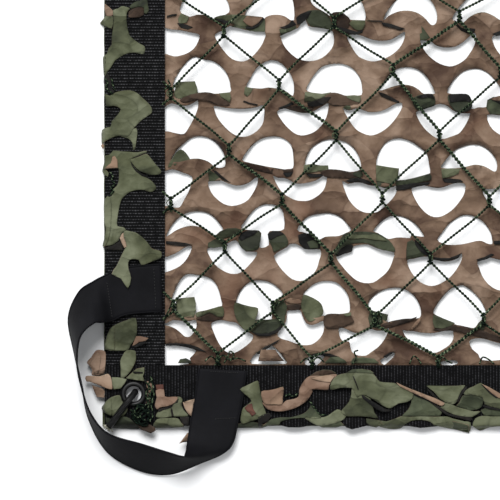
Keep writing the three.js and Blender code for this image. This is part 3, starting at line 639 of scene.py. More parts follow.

# Each row is one loose end or fold that lies on the seen quarter: its cloth, how far its lower and upper
# edge in the picture stand over the sheet in mm, and its outline. Rows of shade cloth are near-black
# patches of painted shade, where slits and folds lie in shadow.
SEEN_ENDS = read_rows([
    ("green", 1, 3, "181,13.5 189,17 187,23 179,24 178,19"),
    ("shade", 1, 1, "177,23 186,24.5 193,27.5 188,29.5 181,28"),
    ("green", 1, 3, "214,18.5 220,16 228,15 238,15 247,16 254,17 262,17.5 258,22 250,26 244,27 236,25.5 "
     "228,22 221,20.5"),
    ("moss", 1, 1, "231,27 238,24 245,26 252,28 259,23 265,19 265,32 255,32 244,29"),
    ("shade", 2, 2, "246,26.5 252,27.5 256,25 263,17.5 264.5,19 258,27 252,29.5 246,29"),
    ("brown", 2, 4, "247,16 263,17.5 258,23.5 252,27 247,25 243,21"),
    ("shade", 3, 3, "215,19 222,20 228,21.5 230,23 226,24.5 220,22"),
    ("shade", 2, 2, "279,27.5 284,26.5 289,24 292,20 294,22 296.5,25 290,28 284,29.5"),
    ("moss", 1, 2, "279,29.5 288,28.5 296,26 296,29 288,32.5 281,36"),
    ("shade", 2, 3, "296,18 300,14.5 306,12 312,11 308,18 301,24 297,24.5"),
    ("moss", 1, 3, "306,12 313,10.5 321,11 326,14 330,19 332,25 330,29.5 320,28 310,26 306,19"),
    ("umber", 1, 4, "331,15 336,12.5 342,13 346,16 350,20 348,28 340,32 334,27"),
    ("shade", 2, 2, "336,26 342,28 350,30 357,32 363,30 362,33 355,35 347,34 338,31"),
    ("green", 2, 4, "352,20.5 365,21 365,25 363,29.5 358,31 353,28.5 349,24"),
    ("shade", 1, 1, "366,20.5 380,20.8 384,22 372,22"),
    ("shade", 1.5, 1.5, "381,22.5 390,24 399,27 405,29 400,31 392,28.5 383,26"),
    ("moss", 1, 2, "421,26 425,31 430,38 426,40.5 420,40.5 419.5,34 422,33"),
    ("shade", 1.5, 1.5, "454,20 460,24 466,28 475,29 474,33 468,34 461,31 456,26"),
    ("shade", 1, 1, "492,34 500,31 508,31 508,34 496,36.5"),
    ("shade", 1, 1, "167,16 172,14.5 177,14 176,16 170,17 167,18"),


    ("green", 1, 2, "176,84 180,82 195,81.5 197,87 198,93 192,95 184,97.5 177,99.5 174,95"),
    ("green", 2, 3, "219,93.5 230,92.5 231,98 230,103 226,100 221,97"),
    ("umber", 1, 4, "180,100 186,96.5 194,94 205,92.5 214,94 221,98 227,102 230,105 226,106.5 216,105 "
     "206,101 197,100.5 190,102 183,103"),
    ("green", 1, 3, "245,87 253,88.5 251,93 247,97 244,94"),
    ("shade", 1.5, 1.5, "244,100.5 250,103 258,104.5 257,106 248,104 243,102"),
    ("shade", 1.5, 1.5, "292,102 294,104.5 286,107.5 280,109.5 278,108 285,105.5"),
    ("umber", 2, 1, "284,108 292,106.5 300,106 308,107 314,108 309,112 300,112.5 291,110"),
    ("green", 1, 3, "305,92 313,93 322,94 331,92.5 326,97 318,100 310,102 304,102"),
    ("umber", 1, 4, "324,97 331,93 338,93.5 345,96 352,99 360,102 355,106 345,105.5 335,106 327,103"),
    ("shade", 3, 3, "307,103 314,101 322,98 330,94 331,98 327,102.5 322,105.5 314,107 308,106.5"),
    ("green", 2, 4, "346,96 354,95.5 361,96.5 360,103 353,101 347,98"),
    ("moss", 1, 1, "343,107 350,104.5 357,106 354,109 346,110"),
    ("shade", 1.5, 1.5, "378,92 384,93.5 391,97 399,101.5 399,103.5 390,100.5 381,96.5"),
    ("moss", 0, 4, "415,97 420,95 428,94 433,95 435,100 434,106 426,108.5 419,111 414,107 412,100"),
    ("shade", 4, 4.5, "416,97 424,94.2 432,94.2 434,99 428,97.5 420,98.5"),
    ("moss", 2, 2, "448,95 456,94 466,94 470,97 472,103 471,109 464,112.5 456,112 451,107 448,101"),
    ("shade", 2.6, 2.6, "448,95 457,94.2 466,94.2 470,98 471,102 464,101.5 456,102 450,103"),
    ("moss", 2, 2, "487,100 493,97 508,97 508,115 490,114.5 486,108"),
    ("shade", 2.6, 2.6, "492,100.5 500,100 508,100 508,106 500,104.5"),
    ("brown", 3, 3, "490,99 497,96.5 508,94.5 508,100 497,101.5"),


    ("green", 1, 2, "172,159 176,153 181,149.5 186,153 190,159 190,161 182,163 174,166 168,167.5 170,162"),
    ("moss", 1, 1.5, "208,171 213,170.5 218,174 223,178.5 220,181 209,181.5"),
    ("shade", 1.5, 2, "211,168.5 217,171.5 222,176 228,181 234,184.5 228,183.5 221,179 215,173"),
    ("umber", 1, 4, "240,162 250,163.5 262,166 275,168 288,170 293,169 292,172 284,173.5 276,175 266,173 "
     "256,170 247,166.5"),
    ("shade", 1.5, 1.5, "283,173.5 288,171.5 293,172 291,176 286,177.5"),
    ("green", 2, 3, "304,165 312,164 320,165.5 328,165.5 328.5,169 320,171 311,172.5 303,173"),
    ("umber", 1, 4, "320,172 328,169.5 337,170 346,171.5 353,174 360,177 356,179 345,178.5 335,178 "
     "325,177"),
    ("shade", 2, 2, "306,173.5 314,174 322,174 325,175.5 318,177.5 309,177.5"),
    ("moss", 2, 3, "352,173 361,170.5 363,175 360,178 354,176"),
    ("shade", 1.5, 1.5, "345,181 352,178.5 360,178 368,180.5 373,184.5 366,184 358,182 350,183"),
    ("moss", 1, 1, "376,180 386,182 396,181 394,187 385,188.5 377,186"),
    ("green", 2, 1, "376,165 388,167 399,168.5 398,176 396,181 390,184 382,182 376,181"),
    ("moss", 1, 3, "396,181 405,180 414,178 423,175.5 430,174 431,180 424,181.5 414,183.5 404,185 "
     "396,185.5"),
    ("shade", 1, 1.5, "396,185.5 405,184.5 414,183 430,182 428,185 418,186.5 411,188.5 404,190 396,190.5"),
    ("green", 2, 3, "441,169 450,168.5 460,168.5 458,174 450,177 442,178.5"),
    ("shade", 1.5, 1.5, "442,179 450,178.5 460,179.5 463,182 452,183.5 444,182"),


    ("shade", 1.5, 1.5, "166,241 175,241.5 186,243 193,245 184,246.5 172,245 166,243.8"),
    ("moss", 1, 4, "215,236 220,231.5 227,228.5 236,228 242,230 238,234 230,237 222,238.5"),
    ("moss", 1, 1, "217,238 224,238.5 224,246.5 214,248 208,247.5 208,243"),
    ("moss", 2.5, 2.5, "243,232 250,230.5 259,230.5 261,236 260,243 258,249 252,251 245,250.5 240,246 "
     "238,240 240,235"),
    ("shade", 3.1, 3.1, "243,232 250,230.3 258,230.8 254,235 247,238 241,241 238.5,238"),
    ("moss", 2.5, 2.5, "268,234 273,231 280,231.5 285,235 288,241 287,246 281,249 274,252.5 272,247 "
     "269,241"),
    ("shade", 3.1, 3.1, "267.5,234 273,230.8 280,231.2 284,234 277,236.5 271,240 268.5,239"),
    ("shade", 2.5, 2.5, "298,235 304,233 311,234 317,237 320,242 320,248.5 312,249.5 304,249 299,243"),
    ("moss", 3.2, 3.2, "307,242 313,240 318,243 318,248 310,248.5"),
    ("moss", 1, 2, "334,256 336,248 340,240 344,234 350,232.5 360,231.5 370,232 378,233.5 386,238 392,244 "
     "395,251.5 385,250.5 376,247.5 368,243.5 358,243 351,244 346,247 338,253"),
    ("green", 3, 1.4, "344,237 350,233.5 360,232 370,232.5 379,235.5 387,241 376,240 364,238 352,239"),
    ("shade", 1.5, 2.5, "336,256 340,249 347,244.5 353,245 352,251 345,253.5 338,256.5"),
    ("moss", 1, 3, "407,242 412,240 417,244 422,250 427,255 420,257 412,258.5 406,259.5 406,250"),
    ("shade", 3, 3, "414,239 421,245 427,251 433,256 428,257 421,252 415,245"),
    ("shade", 2, 2, "433,257 441,258 449,258 456,255.5 462,252.5 458,258 450,260.5 441,261 434,259.5"),
    ("shade", 1.5, 1.5, "476,259.5 484,257 491,253.5 494,254.5 487,259 478,261.5"),
    ("shade", 1.5, 1.5, "493,241 500,240.5 508,241 508,244 494,244.5"),


    ("moss", 1, 1, "176,316 186,317 196,316 195,320 184,320.5 176,319.5"),
    ("green", 2, 2, "176,298.5 186,297.5 194.5,297 196,303 196,312 194,317 184,317.5 176,317"),
    ("umber", 1, 2, "197,317 204,314.5 211,311.5 218,316 223,317.5 221,319.5 214,321 205,321 197,320"),
    ("green", 2, 4, "196,312.5 205,310.5 214,308 222,306 224,311 223,317 216,316 210,312.5 203,315.5 "
     "197,317"),
    ("moss", 1.5, 2, "250,321 258,319.5 266,319.5 274,319 279,317 284,314 285,320 281,327 274,332 266,334 "
     "258,334.5 250,331 246,327"),
    ("shade", 2, 2.2, "251,331.5 260,333.5 268,333 276,329.5 283,323 281,329 275,334 267,336.3 258,336"),
    ("green", 2.5, 2, "235,302.5 243,304.5 251,306.5 258,308 257,315 255,321 257,325 252,331 246,331 "
     "240,325 236,318 234,310"),
    ("moss", 1, 2, "272,303 278,300 284,301 287,306 286,314 282,320 276,318 272,312"),
    ("pale", 1, 2, "284,300 290,297.5 299,299 303,302.5 296,304 288,303"),
    ("umber", 1, 1, "287,305 296,304.5 302,305 300,309.5 290,310.5 287,309"),
    ("shade", 1, 1, "306,320 312,321 318,318.5 323,315.5 322,319 315,323.5 309,324"),
    ("green", 2, 2, "304,294.5 310,296.5 316,299.5 321,303.5 323,309 323,314 318,318 311,321.5 307,320 "
     "303,313 301,306 302,299"),
    ("umber", 1, 4, "324,316 331,313.5 340,314 350,314.5 352,318 354,322 348,325 340,328 330,329 324,326"),
    ("green", 4, 4, "343,314 351,312 351,315.5 346,316.5"),
    ("moss", 1, 3, "370,310 378,312 388,314.5 387,320 382,323 376,328 370,327 368,318"),
    ("umber", 1, 4, "381,325 388,322 396,320 404,319 411,318.5 417,316.5 413,320 405,323 396,326 "
     "388,328.5"),
    ("pale", 3, 4, "418,319 420.5,316 420,321 416,326 412,330 410.5,328 414,323"),
    ("umber", 1, 3, "432,329 442,328.5 450,326 458,325 467,327 474,329 482,330.5 490,333.5 500,337 508,340 "
     "508,345 498,342 486,338.5 472,335.5 460,332 450,330.5 440,331"),
    ("green", 3, 3, "433,314.5 441,317.5 450,321 455,323 450,326 442,328.5 434,327.5 432.5,321"),
    ("moss", 2, 2, "478,323 483,319 486,324 483,330 476,328"),


    ("shade", 1.5, 1.5, "166,343.5 176,343 188,344 198,347 207,352 196,350 186,347 176,345.5 166,345.5"),
    ("shade", 1.5, 1.5, "256,353 265,347 274,342 281,338.5 276,343 268,348 259,354"),
    ("brown", 2, 3, "258,361 261,349.5 275,349.5 284,361"),
    ("shade", 1.5, 1.5, "311,354 320,352.5 330,353.5 340,357 330,356.5 320,355"),
    ("moss", 2, 2, "324,363 330,357 338,356.5 345,360 347,363"),
    ("moss", 2, 2, "350,363 353,358 362,357 374,358.5 379,363"),
    ("shade", 1.5, 1.5, "383,356.5 389,352.5 395,351 391,354 386,357.5"),
    ("moss", 2, 2, "178,363 180,359 186,358 190,360 192,363"),
])

# Each cloth's material, and its dark, middle, light and stain colours. Besides the brown and green faces,
# some are these faces drawn lighter or darker for how the light falls: painted light and shade.
CLOTHS = {
    "brown": ("leaf_brown_knit", (74, 54, 42), (123, 100, 82), (156, 132, 113), (112, 80, 62)),
    "green": ("leaf_green_knit", (56, 60, 42), (90, 94, 70), (118, 122, 98), (76, 78, 50)),
    "tan": ("leaf_tan_knit", (98, 74, 58), (129, 103, 86), (156, 131, 113), (140, 102, 80)),
    # Painted light: the brown face drawn lighter, where ridges, rolled edges and folds face the light.
    "pale": ("leaf_brown_knit_lit", (112, 88, 72), (147, 121, 100), (174, 149, 128), (142, 106, 88)),
    "rust": ("leaf_rust_knit", (44, 28, 26), (84, 52, 44), (112, 74, 60), (60, 34, 32)),
    # Painted shade: near-black cloth laid where slits, folds and hollows lie in shadow.
    "shade": ("leaf_painted_fold_shade", (8, 7, 6), (18, 16, 13), (34, 29, 23), (12, 10, 8)),
    # Painted shade: the green face drawn darker, where it tilts away from the light or lies under other cloth.
    "moss": ("leaf_green_knit_shaded", (38, 42, 32), (62, 68, 50), (86, 92, 70), (52, 54, 38)),
    # Painted shade: the brown face drawn darker, where it tilts away from the light or hangs in shadow.
    "umber": ("leaf_brown_knit_shaded", (36, 27, 20), (62, 48, 38), (92, 74, 60), (54, 34, 26)),
}
LEAF_SLOTS = {kind: slot for slot, kind in enumerate((*CLOTHS, "web"))}     # web is the end webbing


def jitter(a, b, c):
    """The same uneven number from -0.5 to 0.5 for the same three."""
    wave = math.sin(a * 127.1 + b * 311.7 + c * 74.7) * 43758.5453
    return wave - math.floor(wave) - 0.5


def sheet_place(along, up):
    """From the turned grid of cuts to the panel."""
    c, s = math.cos(TURN), math.sin(TURN)
    return FIRST_DOME[0] + along * c - up * s, FIRST_DOME[1] + along * s + up * c


def cut_frame(column, row, dome):
    """Where a cut's straight side has its middle, on the turned grid, and how its size differs."""
    kind = 1 if dome else 2
    along = column * PITCH + (0 if dome else PITCH / 2) + PLACE_SPREAD[0] * jitter(column, row, kind)
    up = row * ROW - (0 if dome else BAND) + PLACE_SPREAD[1] * jitter(column, row, kind + 2)
    wide, tall = (1 + SIZE_SPREAD * jitter(column, row, kind + more) for more in (4, 6))
    return along, up, wide, tall


def cut_outline(column, row, dome, flap):
    """A half-round cut, its straight side bowed where a crescent of cloth still hangs there."""
    along, up, wide, tall = cut_frame(column, row, dome)
    height = DOME if dome else BOWL
    bow = FLAP_BOWS.get(flap, 2 * MM)
    skew = 0.5 * jitter(column, row, 21)
    points = []
    for i in range(CUT_STEPS + 1):
        turn = math.pi * i / CUT_STEPS
        c, s = math.cos(turn), math.sin(turn)
        points.append((CUT_WIDTH * math.copysign(abs(c) ** CUT_POWER, c), height * abs(s) ** CUT_POWER))
    for i in range(1, EDGE_STEPS):
        t = i / EDGE_STEPS
        points.append((CUT_WIDTH * (2 * t - 1), bow * math.sin(math.pi * t ** (1 + skew)) ** 1.2))
    sign = 1 if dome else -1
    return [sheet_place(along + x * wide, up + sign * y * tall) for x, y in points]


def all_cuts():
    """Every cut as (outline, dome, lift, roll), and the cuts that need a loose end of their own."""
    limit = SHEET_HALF - RIM
    cuts, ends = [], []
    for form, lift, roll, outline in SEEN_CUTS:
        outline = np.clip([spot(*p) for p in rounded(outline)], -limit, limit)
        cuts.append((outline, form == "dome", lift * MM, roll * MM))
    drawn = np.array([cut[0].mean(0) for cut in cuts])
    for row in CUT_ROWS:
        for column in CUT_COLUMNS:
            for dome in (True, False):
                flap = FLAP_FORMS[(3 * column + 7 * row + (0 if dome else 5)) % len(FLAP_FORMS)]
                outline = np.clip(cut_outline(column, row, dome, flap), -limit, limit)
                centre = outline.mean(0)
                if (centre[0] < DRAWN_RIGHT and centre[1] < DRAWN_TOP
                        or np.linalg.norm(drawn - centre, axis=1).min() < CLEAR_OF_DRAWN
                        or (np.ptp(outline, axis=0) < SMALLEST_CUT).any()):
                    continue
                lift = (LIFT + LIFT_SPREAD * jitter(column, row, 31)) * MM
                roll = (ROLL + ROLL_SPREAD * jitter(column, row, 32)) * MM if dome else 0
                cuts.append((outline, dome, lift, roll))
                ends.append((column, row, dome, flap))
    return cuts, ends


def flatten(z, level, past, slope):
    """Height z brought to level, over the width of the slope, where past is over 0."""
    return z if past < 0 else z + (level - z) * min(past / slope, 1)


def sheet_base(x, y):
    """The sheet's height, before its cuts move it: it lies loose, in low waves with sharp folds."""
    fold = abs(unevenness(x * 30 + y * 22, y * 60 - x * 12, 8.3))
    cross = abs(unevenness(x * 62 - y * 34, y * 30, 6.1))
    z = SHEET_LEVEL + (0.7 - 2.2 * fold - 1.1 * cross) * MM
    for height, u, v, layer in SHEET_WAVES:
        z += height * unevenness(x * u, y * v, layer)
    return flatten(z, LEVEL_UNDER_WEBBING, max(abs(x), abs(y)) - (SHEET_HALF - SHEET_EDGE), SHEET_SLOPE)


def fading(gap, reach):
    """From 1 at no gap down to 0 at reach."""
    return np.clip(1 - gap / reach, 0, 1)


def cut_edges(points, heights, cuts):
    """Lifts the loose edge of each cut, and rolls the cloth down at its far side."""
    for outline, dome, lift, roll in cuts:
        low, high = outline.min(0), outline.max(0)
        near = np.flatnonzero(((points > low - LIFT_REACH) & (points < high + LIFT_REACH)).all(1))
        if not len(near):
            continue
        gaps = np.linalg.norm(points[near][:, None] - outline[None], axis=2)
        nearest = gaps.argmin(1)
        gap = gaps[np.arange(len(near)), nearest]
        u, v = ((outline[nearest] - low) / (high - low)).T      # across the cut, and from its loose edge
        if not dome:
            v = 1 - v
        loose = np.clip((0.55 - v) / 0.2, 0, 1) * np.sin(np.pi * np.clip(u, 0, 1)) ** 0.7
        far = np.clip((v - 0.5) / 0.3, 0, 1)
        heights[near] += (lift if dome else 0.45 * lift) * loose * fading(gap, LIFT_REACH) ** 1.6
        heights[near] -= (roll * far * fading(gap, ROLL_REACH) ** 1.3
                          - 0.55 * roll * far * fading(gap, 2 * ROLL_REACH))
    fade = np.clip((SHEET_HALF - 14 * MM - np.abs(points).max(1)) / (8 * MM), 0, 1)
    return np.where(fade < 1, np.minimum(heights, 1.4 * MM + 6 * MM * fade), heights).clip(LOWEST)


def sheet_grid(cuts):
    """Points for the sheet's mesh that lie clear of its edge and cuts, finer in the seen quarter."""
    grid = []
    for spacing in (FINE, COARSE):
        steps = np.arange(-SHEET_HALF + spacing, SHEET_HALF - spacing / 2, spacing)
        mesh = np.array([(x + (k % 2) * spacing / 2, y) for k, y in enumerate(steps) for x in steps])
        seen = (mesh[:, 0] < FINE_RIGHT) & (mesh[:, 1] < FINE_TOP)
        grid.append(mesh[(seen if spacing == FINE else ~seen) & (mesh[:, 0] < SHEET_HALF - 1 * MM)])
    grid = np.concatenate(grid)
    for outline, *_ in cuts:
        low, high = outline.min(0) - 3 * MM, outline.max(0) + 3 * MM
        picked = np.flatnonzero(((grid > low) & (grid < high)).all(1))
        if len(picked):
            gap = np.linalg.norm(grid[picked][:, None] - outline[None], axis=2).min(1)
            grid = np.delete(grid, picked[inside(grid[picked], outline) | (gap < CLEAR_OF_CUT)], axis=0)
    return grid


def sheet_edges(cuts):
    """The points and edges along the sheet's rim and round each cut."""
    count = round(2 * SHEET_HALF / COARSE)
    steps = np.linspace(-SHEET_HALF, SHEET_HALF, count, endpoint=False)
    rim = [(t, -SHEET_HALF) for t in steps] + [(SHEET_HALF, t) for t in steps]
    rim += [(-t, SHEET_HALF) for t in steps] + [(-SHEET_HALF, -t) for t in steps]
    points, edges = [], []
    for loop in (rim, *(outline for outline, *_ in cuts)):
        kept = [tuple(loop[0])]
        for p in loop[1:]:
            if math.dist(p, kept[-1]) > SHORTEST_EDGE:
                kept.append(tuple(p))
        first = len(points)
        points.extend(kept)
        edges.extend((first + i, first + (i + 1) % len(kept)) for i in range(len(kept)))
    return points, edges


def add_sheet(cloth, cuts):
    """The sheet itself, one surface that is open at its cuts."""
    points, edges = sheet_edges(cuts)
    points.extend(map(tuple, sheet_grid(cuts)))
    made, _, faces, *_ = delaunay_2d_cdt([Vector(p) for p in points], edges, [], 0, 1e-6)
    made = np.array([tuple(p) for p in made])
    faces = np.array([tuple(face) for face in faces])
    centres = made[faces].mean(1)
    gone = np.zeros(len(faces), bool)
    for outline, *_ in cuts:
        close = np.flatnonzero(((centres > outline.min(0)) & (centres < outline.max(0))).all(1))
        gone[close[inside(centres[close], outline)]] = True
    used, faces = np.unique(faces[~gone], return_inverse=True)
    flat = made[used]
    heights = cut_edges(flat, np.array([sheet_base(x, y) for x, y in flat]), cuts)
    cloth.add(np.column_stack([flat, heights]), [tuple(f) for f in faces.reshape(-1, 3)])


def reverse_of(kind):
    """The slot on the other side: the cloth is green on one side and brown on the other."""
    return LEAF_SLOTS["brown" if kind in ("green", "moss") else "green"]


def add_end(cloth, kind, outline, low, high, place=same, spacing=FINE_END):
    """One loose end over the sheet. Low and high are how far its lower and upper edge stand over it, in mm."""
    points, faces = fill(outline, spacing)
    bottom, top = points[:, 1].min(), points[:, 1].max()
    spots = np.array([place(x, y) for x, y in points])
    share = (points[:, 1] - bottom) / (top - bottom)
    heights = [sheet_base(x, y) + (low + (high - low) * v) * MM + END_CRUMPLE * crumple(x, y) + END_RISE
               for (x, y), v in zip(spots, share)]
    cloth.add(np.column_stack([spots, heights]), faces, LEAF_SLOTS[kind], reverse_of(kind))


def add_seen_ends(cloth):
    for kind, low, high, outline in SEEN_ENDS:
        smooth = kind == "umber" or len(outline) > STRAIGHT
        add_end(cloth, kind, [spot(*p) for p in (rounded(outline) if smooth else outline)], low, high)


# Loose ends by their letter in FLAP_FORMS: each cloth, low and high, and outline in mm about the middle of
# a cut's straight side. Rows of shade cloth are painted shade in the hollows of the ends.
UNSEEN_ENDS = {
    "m": [("umber", 1, 4, [(-18, -4), (-8, -5), (6, -3), (16, -4), (12, 1), (4, 4), (-6, 4), (-14, 1)])],
    "s": [("green", 1, 3, [(-21, -3), (-3, -2), (-2, 12), (-19, 13)]),
          ("shade", 1, 2, [(-2, -3), (10, -4), (19, -2), (12, 0), (2, 0)])],
    "g": [("green", 1, 4, [(-19, 0), (-8, 3), (2, 3), (12, 1), (4, -3), (-8, -5)]),
          ("umber", 1, 3, [(2, -1), (12, 1), (20, -3), (12, -6), (4, -5)])],
    "l": [("moss", 1, 4, [(-22, -6), (-16, 3), (-4, 8), (10, 7), (21, -2), (8, -2), (-6, -2)]),
          ("shade", 1, 1, [(-14, -4), (-4, -3), (6, -4), (-4, -6)])],
    "c": [("moss", 2, 3, [(-21, -8), (-6, -8), (-4, 0), (-6, 7), (-20, 7), (-22, 0)]),
          ("shade", 3.2, 3.6, [(-20, 3), (-6, 3), (-6, 7), (-20, 7)]),
          ("moss", 2, 3, [(4, -7), (18, -8), (20, 0), (17, 6), (5, 6)]),
          ("shade", 3.2, 3.6, [(5, 2), (18, 2), (17, 6), (5, 6)])],
}


def add_unseen_ends(cloth, ends):
    for column, row, dome, flap in ends:
        along, up, *_ = cut_frame(column, row, dome)
        x, y = sheet_place(along, up)
        if max(abs(x), abs(y)) > SHEET_HALF - CLEAR_OF_EDGE:
            continue
        sign = 1 if dome else -1
        for kind, low, high, outline in UNSEEN_ENDS.get(flap, []):
            outline = [(px * MM, sign * py * MM) for px, py in outline]
            if sign < 0:
                outline.reverse()
            add_end(cloth, kind, rounded(outline), low, high,
                    lambda a, b: sheet_place(along + a, up + b), COARSE_END)


# ---- the twine net ----
KNOT_STEP = (44.7 * MM, 46.6 * MM)
KNOT_START = (4.5 * MM, 2.5 * MM)
KNOT_REACH = 4.2 * MM              # from a knot's middle to where its bars leave it
KNOT_TURNS, KNOT_STEPS = 3, 8      # turns of twine round a knot, and points to each
NET_ROWS, NET_COLUMNS = range(-2, 16), range(-2, 17)    # enough to cover the panel
NET_LEVEL, BORDER_LEVEL = 9.6 * MM, 2.3 * MM
NET_EDGE, NET_SLOPE = 22 * MM, 10 * MM          # where the net turns down at its border, and over what width
SWAY = (7 * MM, -8 * MM)
BESIDE = 0.6 * MM                  # how far beside a knot's middle its bars leave it
RIM_WITHOUT_KNOTS = 9 * MM
UNSEEN_WRAPPED = {-1: 0.1, 1: -0.25}    # bars whose jitter is below this are wrapped, by the side they lean to
SHORTEST_BAR = 4 * MM
FINE_STEP, COARSE_STEP = 0.75 * MM, 1.2 * MM    # along a bar, in the seen quarter and beyond it
# A bar's radius, how far its strands run in one turn, and how near their crests they are painted pale as a
# highlight.
WRAPPED_BAR, BARE_BAR = (1.35 * MM, 6.8 * MM, 0.35), (0.98 * MM, 6.0 * MM, 0.55)
STRAND_RELIEF = 0.34               # how far a bar's strands stand out, as a share of its radius
KNOT_TWINE, LOOP_TWINE, LOOSE_TWINE = 0.85 * MM, 0.45 * MM, 0.75 * MM   # radii
# The seen knots' places in the picture, by column and row of the net.
SEEN_KNOTS = {
    (0, 7): (164, -16), (2, 7): (286, -26), (4, 7): (402, -30), (6, 7): (513, -24),
    (1, 6): (224, 32), (3, 6): (334, 23), (5, 6): (459, 17),
    (0, 5): (171, 94), (2, 5): (279, 85), (4, 5): (393, 70), (6, 5): (500, 73),
    (1, 4): (229, 150), (3, 4): (336, 136), (5, 4): (439, 136),
    (0, 3): (171, 203), (2, 3): (282, 199), (4, 3): (382, 198), (6, 3): (489, 201),
    (1, 2): (225, 247), (3, 2): (331, 258), (5, 2): (430, 258),
    (0, 1): (174, 306), (2, 1): (273, 307), (4, 1): (375, 320), (6, 1): (483, 319),
    (1, 0): (218, 358), (3, 0): (312, 362), (5, 0): (438, 361),
}
# The bars of the seen quarter that are wrapped: the column and row they rise from, and the side they lean to.
WRAPPED = {(2, 3, -1), (3, 2, -1), (4, 1, -1), (3, 4, -1), (4, 5, 1), (6, 5, -1), (5, 4, -1), (6, 3, -1),
           (5, 0, -1), (5, 0, 1), (1, 0, -1)}


def knot(column, row):
    """A knot's place on the panel. Beyond the seen ones the rows and columns sway as they do there."""
    if (column, row) in SEEN_KNOTS:
        return spot(*SEEN_KNOTS[column, row])
    x = KNOT_START[0] + KNOT_STEP[0] * column
    y = KNOT_START[1] + KNOT_STEP[1] * row
    a, b = x / MM, y / MM
    sway_x = SWAY[0] * math.sin(math.pi * a / 420) * math.sin(math.pi * (b - 150) / 220)
    sway_y = SWAY[1] * math.cos(math.pi * a / 250) * math.sin(math.pi * (b - 135) / 190)
    return x + sway_x - HALF + WEB, y + sway_y - HALF + WEB


def clip_bar(a, b, limit):
    """The part of a bar inside the square of half side limit, or None."""
    t0, t1 = 0.0, 1.0
    for k in (0, 1):
        run = b[k] - a[k]
        for bound, sign in ((limit, 1), (-limit, -1)):
            over = sign * (a[k] - bound)
            if sign * run == 0:
                if over > 0:
                    return None
                continue
            t = -over / (sign * run)
            if sign * run > 0:
                t1 = min(t1, t)
            else:
                t0 = max(t0, t)
    if t1 - t0 < 0.02:
        return None
    return [[a[k] + (b[k] - a[k]) * t for k in (0, 1)] for t in (t0, t1)]


def net_height(x, y):
    """The net's height: in low waves over the sheet, and down at its border."""
    z = NET_LEVEL + 1.2 * MM * unevenness(x * 12, y * 12, 9.0)
    return flatten(z, BORDER_LEVEL, max(abs(x), abs(y)) - (NET_HALF - NET_EDGE), NET_SLOPE)


def add_bar(net, a, b, wrapped, seed):
    """A twisted bar: its strands stand out in turns, with a painted highlight on their crests."""
    length = math.dist(a, b)
    if length < SHORTEST_BAR:
        return
    radius, lay, highlight_crest = WRAPPED_BAR if wrapped else BARE_BAR
    seen = a[0] < FINE_RIGHT and a[1] < FINE_TOP
    steps = max(int(length / (FINE_STEP if seen else COARSE_STEP)), 3)
    bend = 1.6 * MM * jitter(seed, 1, 2)
    across = ((a[1] - b[1]) / length, (b[0] - a[0]) / length)
    path = []
    for i in range(steps + 1):
        t = i / steps
        off = bend * math.sin(math.pi * t) + 0.25 * MM * math.sin(t * length / (7 * MM) + seed)
        x, y = (a[k] + (b[k] - a[k]) * t + across[k] * off for k in (0, 1))
        path.append((x, y, net_height(x, y)))
    first, sides, turns = len(net.faces), 6, length / lay
    net.add_tube(path, radius, sides, 0, STRAND_RELIEF, turns)
    for i in range(steps):
        for k in range(sides):
            turned = 2 * math.pi * ((k + 0.5) / sides - turns * (i + 0.5) / steps)
            if math.cos(2 * turned) > highlight_crest:
                net.slots[first + i * sides + k] = 1


def add_flecked(net, path, radius, every):
    """A thin tube of twine, with a painted highlight on one face in so many."""
    first = len(net.faces)
    net.add_tube(path, radius, 5)
    for n in range(first, len(net.faces), every):
        net.slots[n] = 1


def add_knot(net, x, y, seed):
    """A lumpy upright knot: a few turns of twine round the two that meet, and a loop that stands off it."""
    z = net_height(x, y)
    path = []
    for i in range(KNOT_TURNS * KNOT_STEPS + 1):
        t = i / KNOT_STEPS
        around = 1.75 * MM * (0.85 + 0.3 * math.sin(t * 2.2 + seed))
        path.append((x + around * math.cos(2 * math.pi * t), y - KNOT_REACH + 2 * KNOT_REACH * t / KNOT_TURNS,
                     z + 0.8 * around * math.sin(2 * math.pi * t)))
    add_flecked(net, path, KNOT_TWINE, 7)
    for side in (-1, 1):
        net.add_tube([(x + side * 0.8 * MM, y - KNOT_REACH * 1.3, z), (x - side * 0.8 * MM, y, z + 0.5 * MM),
                      (x + side * 0.8 * MM, y + KNOT_REACH * 1.3, z)], 0.95 * MM, 6)
    lean = 2.5 * MM * 2 * jitter(seed, 3, 1)
    loop = [(x + lean * math.sin(math.pi * t / 6) + 1.2 * MM * math.cos(t), y + 2.4 * MM * math.sin(t),
             z + 1.4 * MM + 0.3 * MM * math.sin(2 * t)) for t in range(7)]
    # The loop is drawn all in the pale twine: a painted highlight.
    net.add_tube(loop, LOOP_TWINE, 5, 1)


def make_net():
    net = Cloth()
    limit = NET_HALF - 1.2 * MM
    for row in NET_ROWS:
        for column in NET_COLUMNS:
            if (column + row) % 2 == 0:
                continue
            x, y = knot(column, row)
            if max(abs(x), abs(y)) < limit - RIM_WITHOUT_KNOTS:
                add_knot(net, x, y, column * 31 + row * 17)
            for step in (-1, 1):
                far_x, far_y = knot(column + step, row + 1)
                bar = clip_bar((x + step * BESIDE, y + KNOT_REACH),
                               (far_x - step * BESIDE, far_y - KNOT_REACH), limit)
                if (column, row) in SEEN_KNOTS:
                    wrapped = (column, row, step) in WRAPPED
                else:
                    wrapped = jitter(column, row, 40 + step) < UNSEEN_WRAPPED[step]
                if bar:
                    add_bar(net, *bar, wrapped, column * 13 + row * 7 + step)
    corners = [(x * limit, y * limit) for x, y in ((-1, -1), (1, -1), (1, 1), (-1, 1))]
    for a, b in zip(corners, corners[1:] + corners[:1]):
        add_bar(net, a, b, False, 1)
    for height, route in SEEN_STRANDS:
        add_strand(net, height, route, STRAND_FLECK)
    for height, route in TANGLE:
        add_strand(net, height, route, TANGLE_FLECK)
    return net
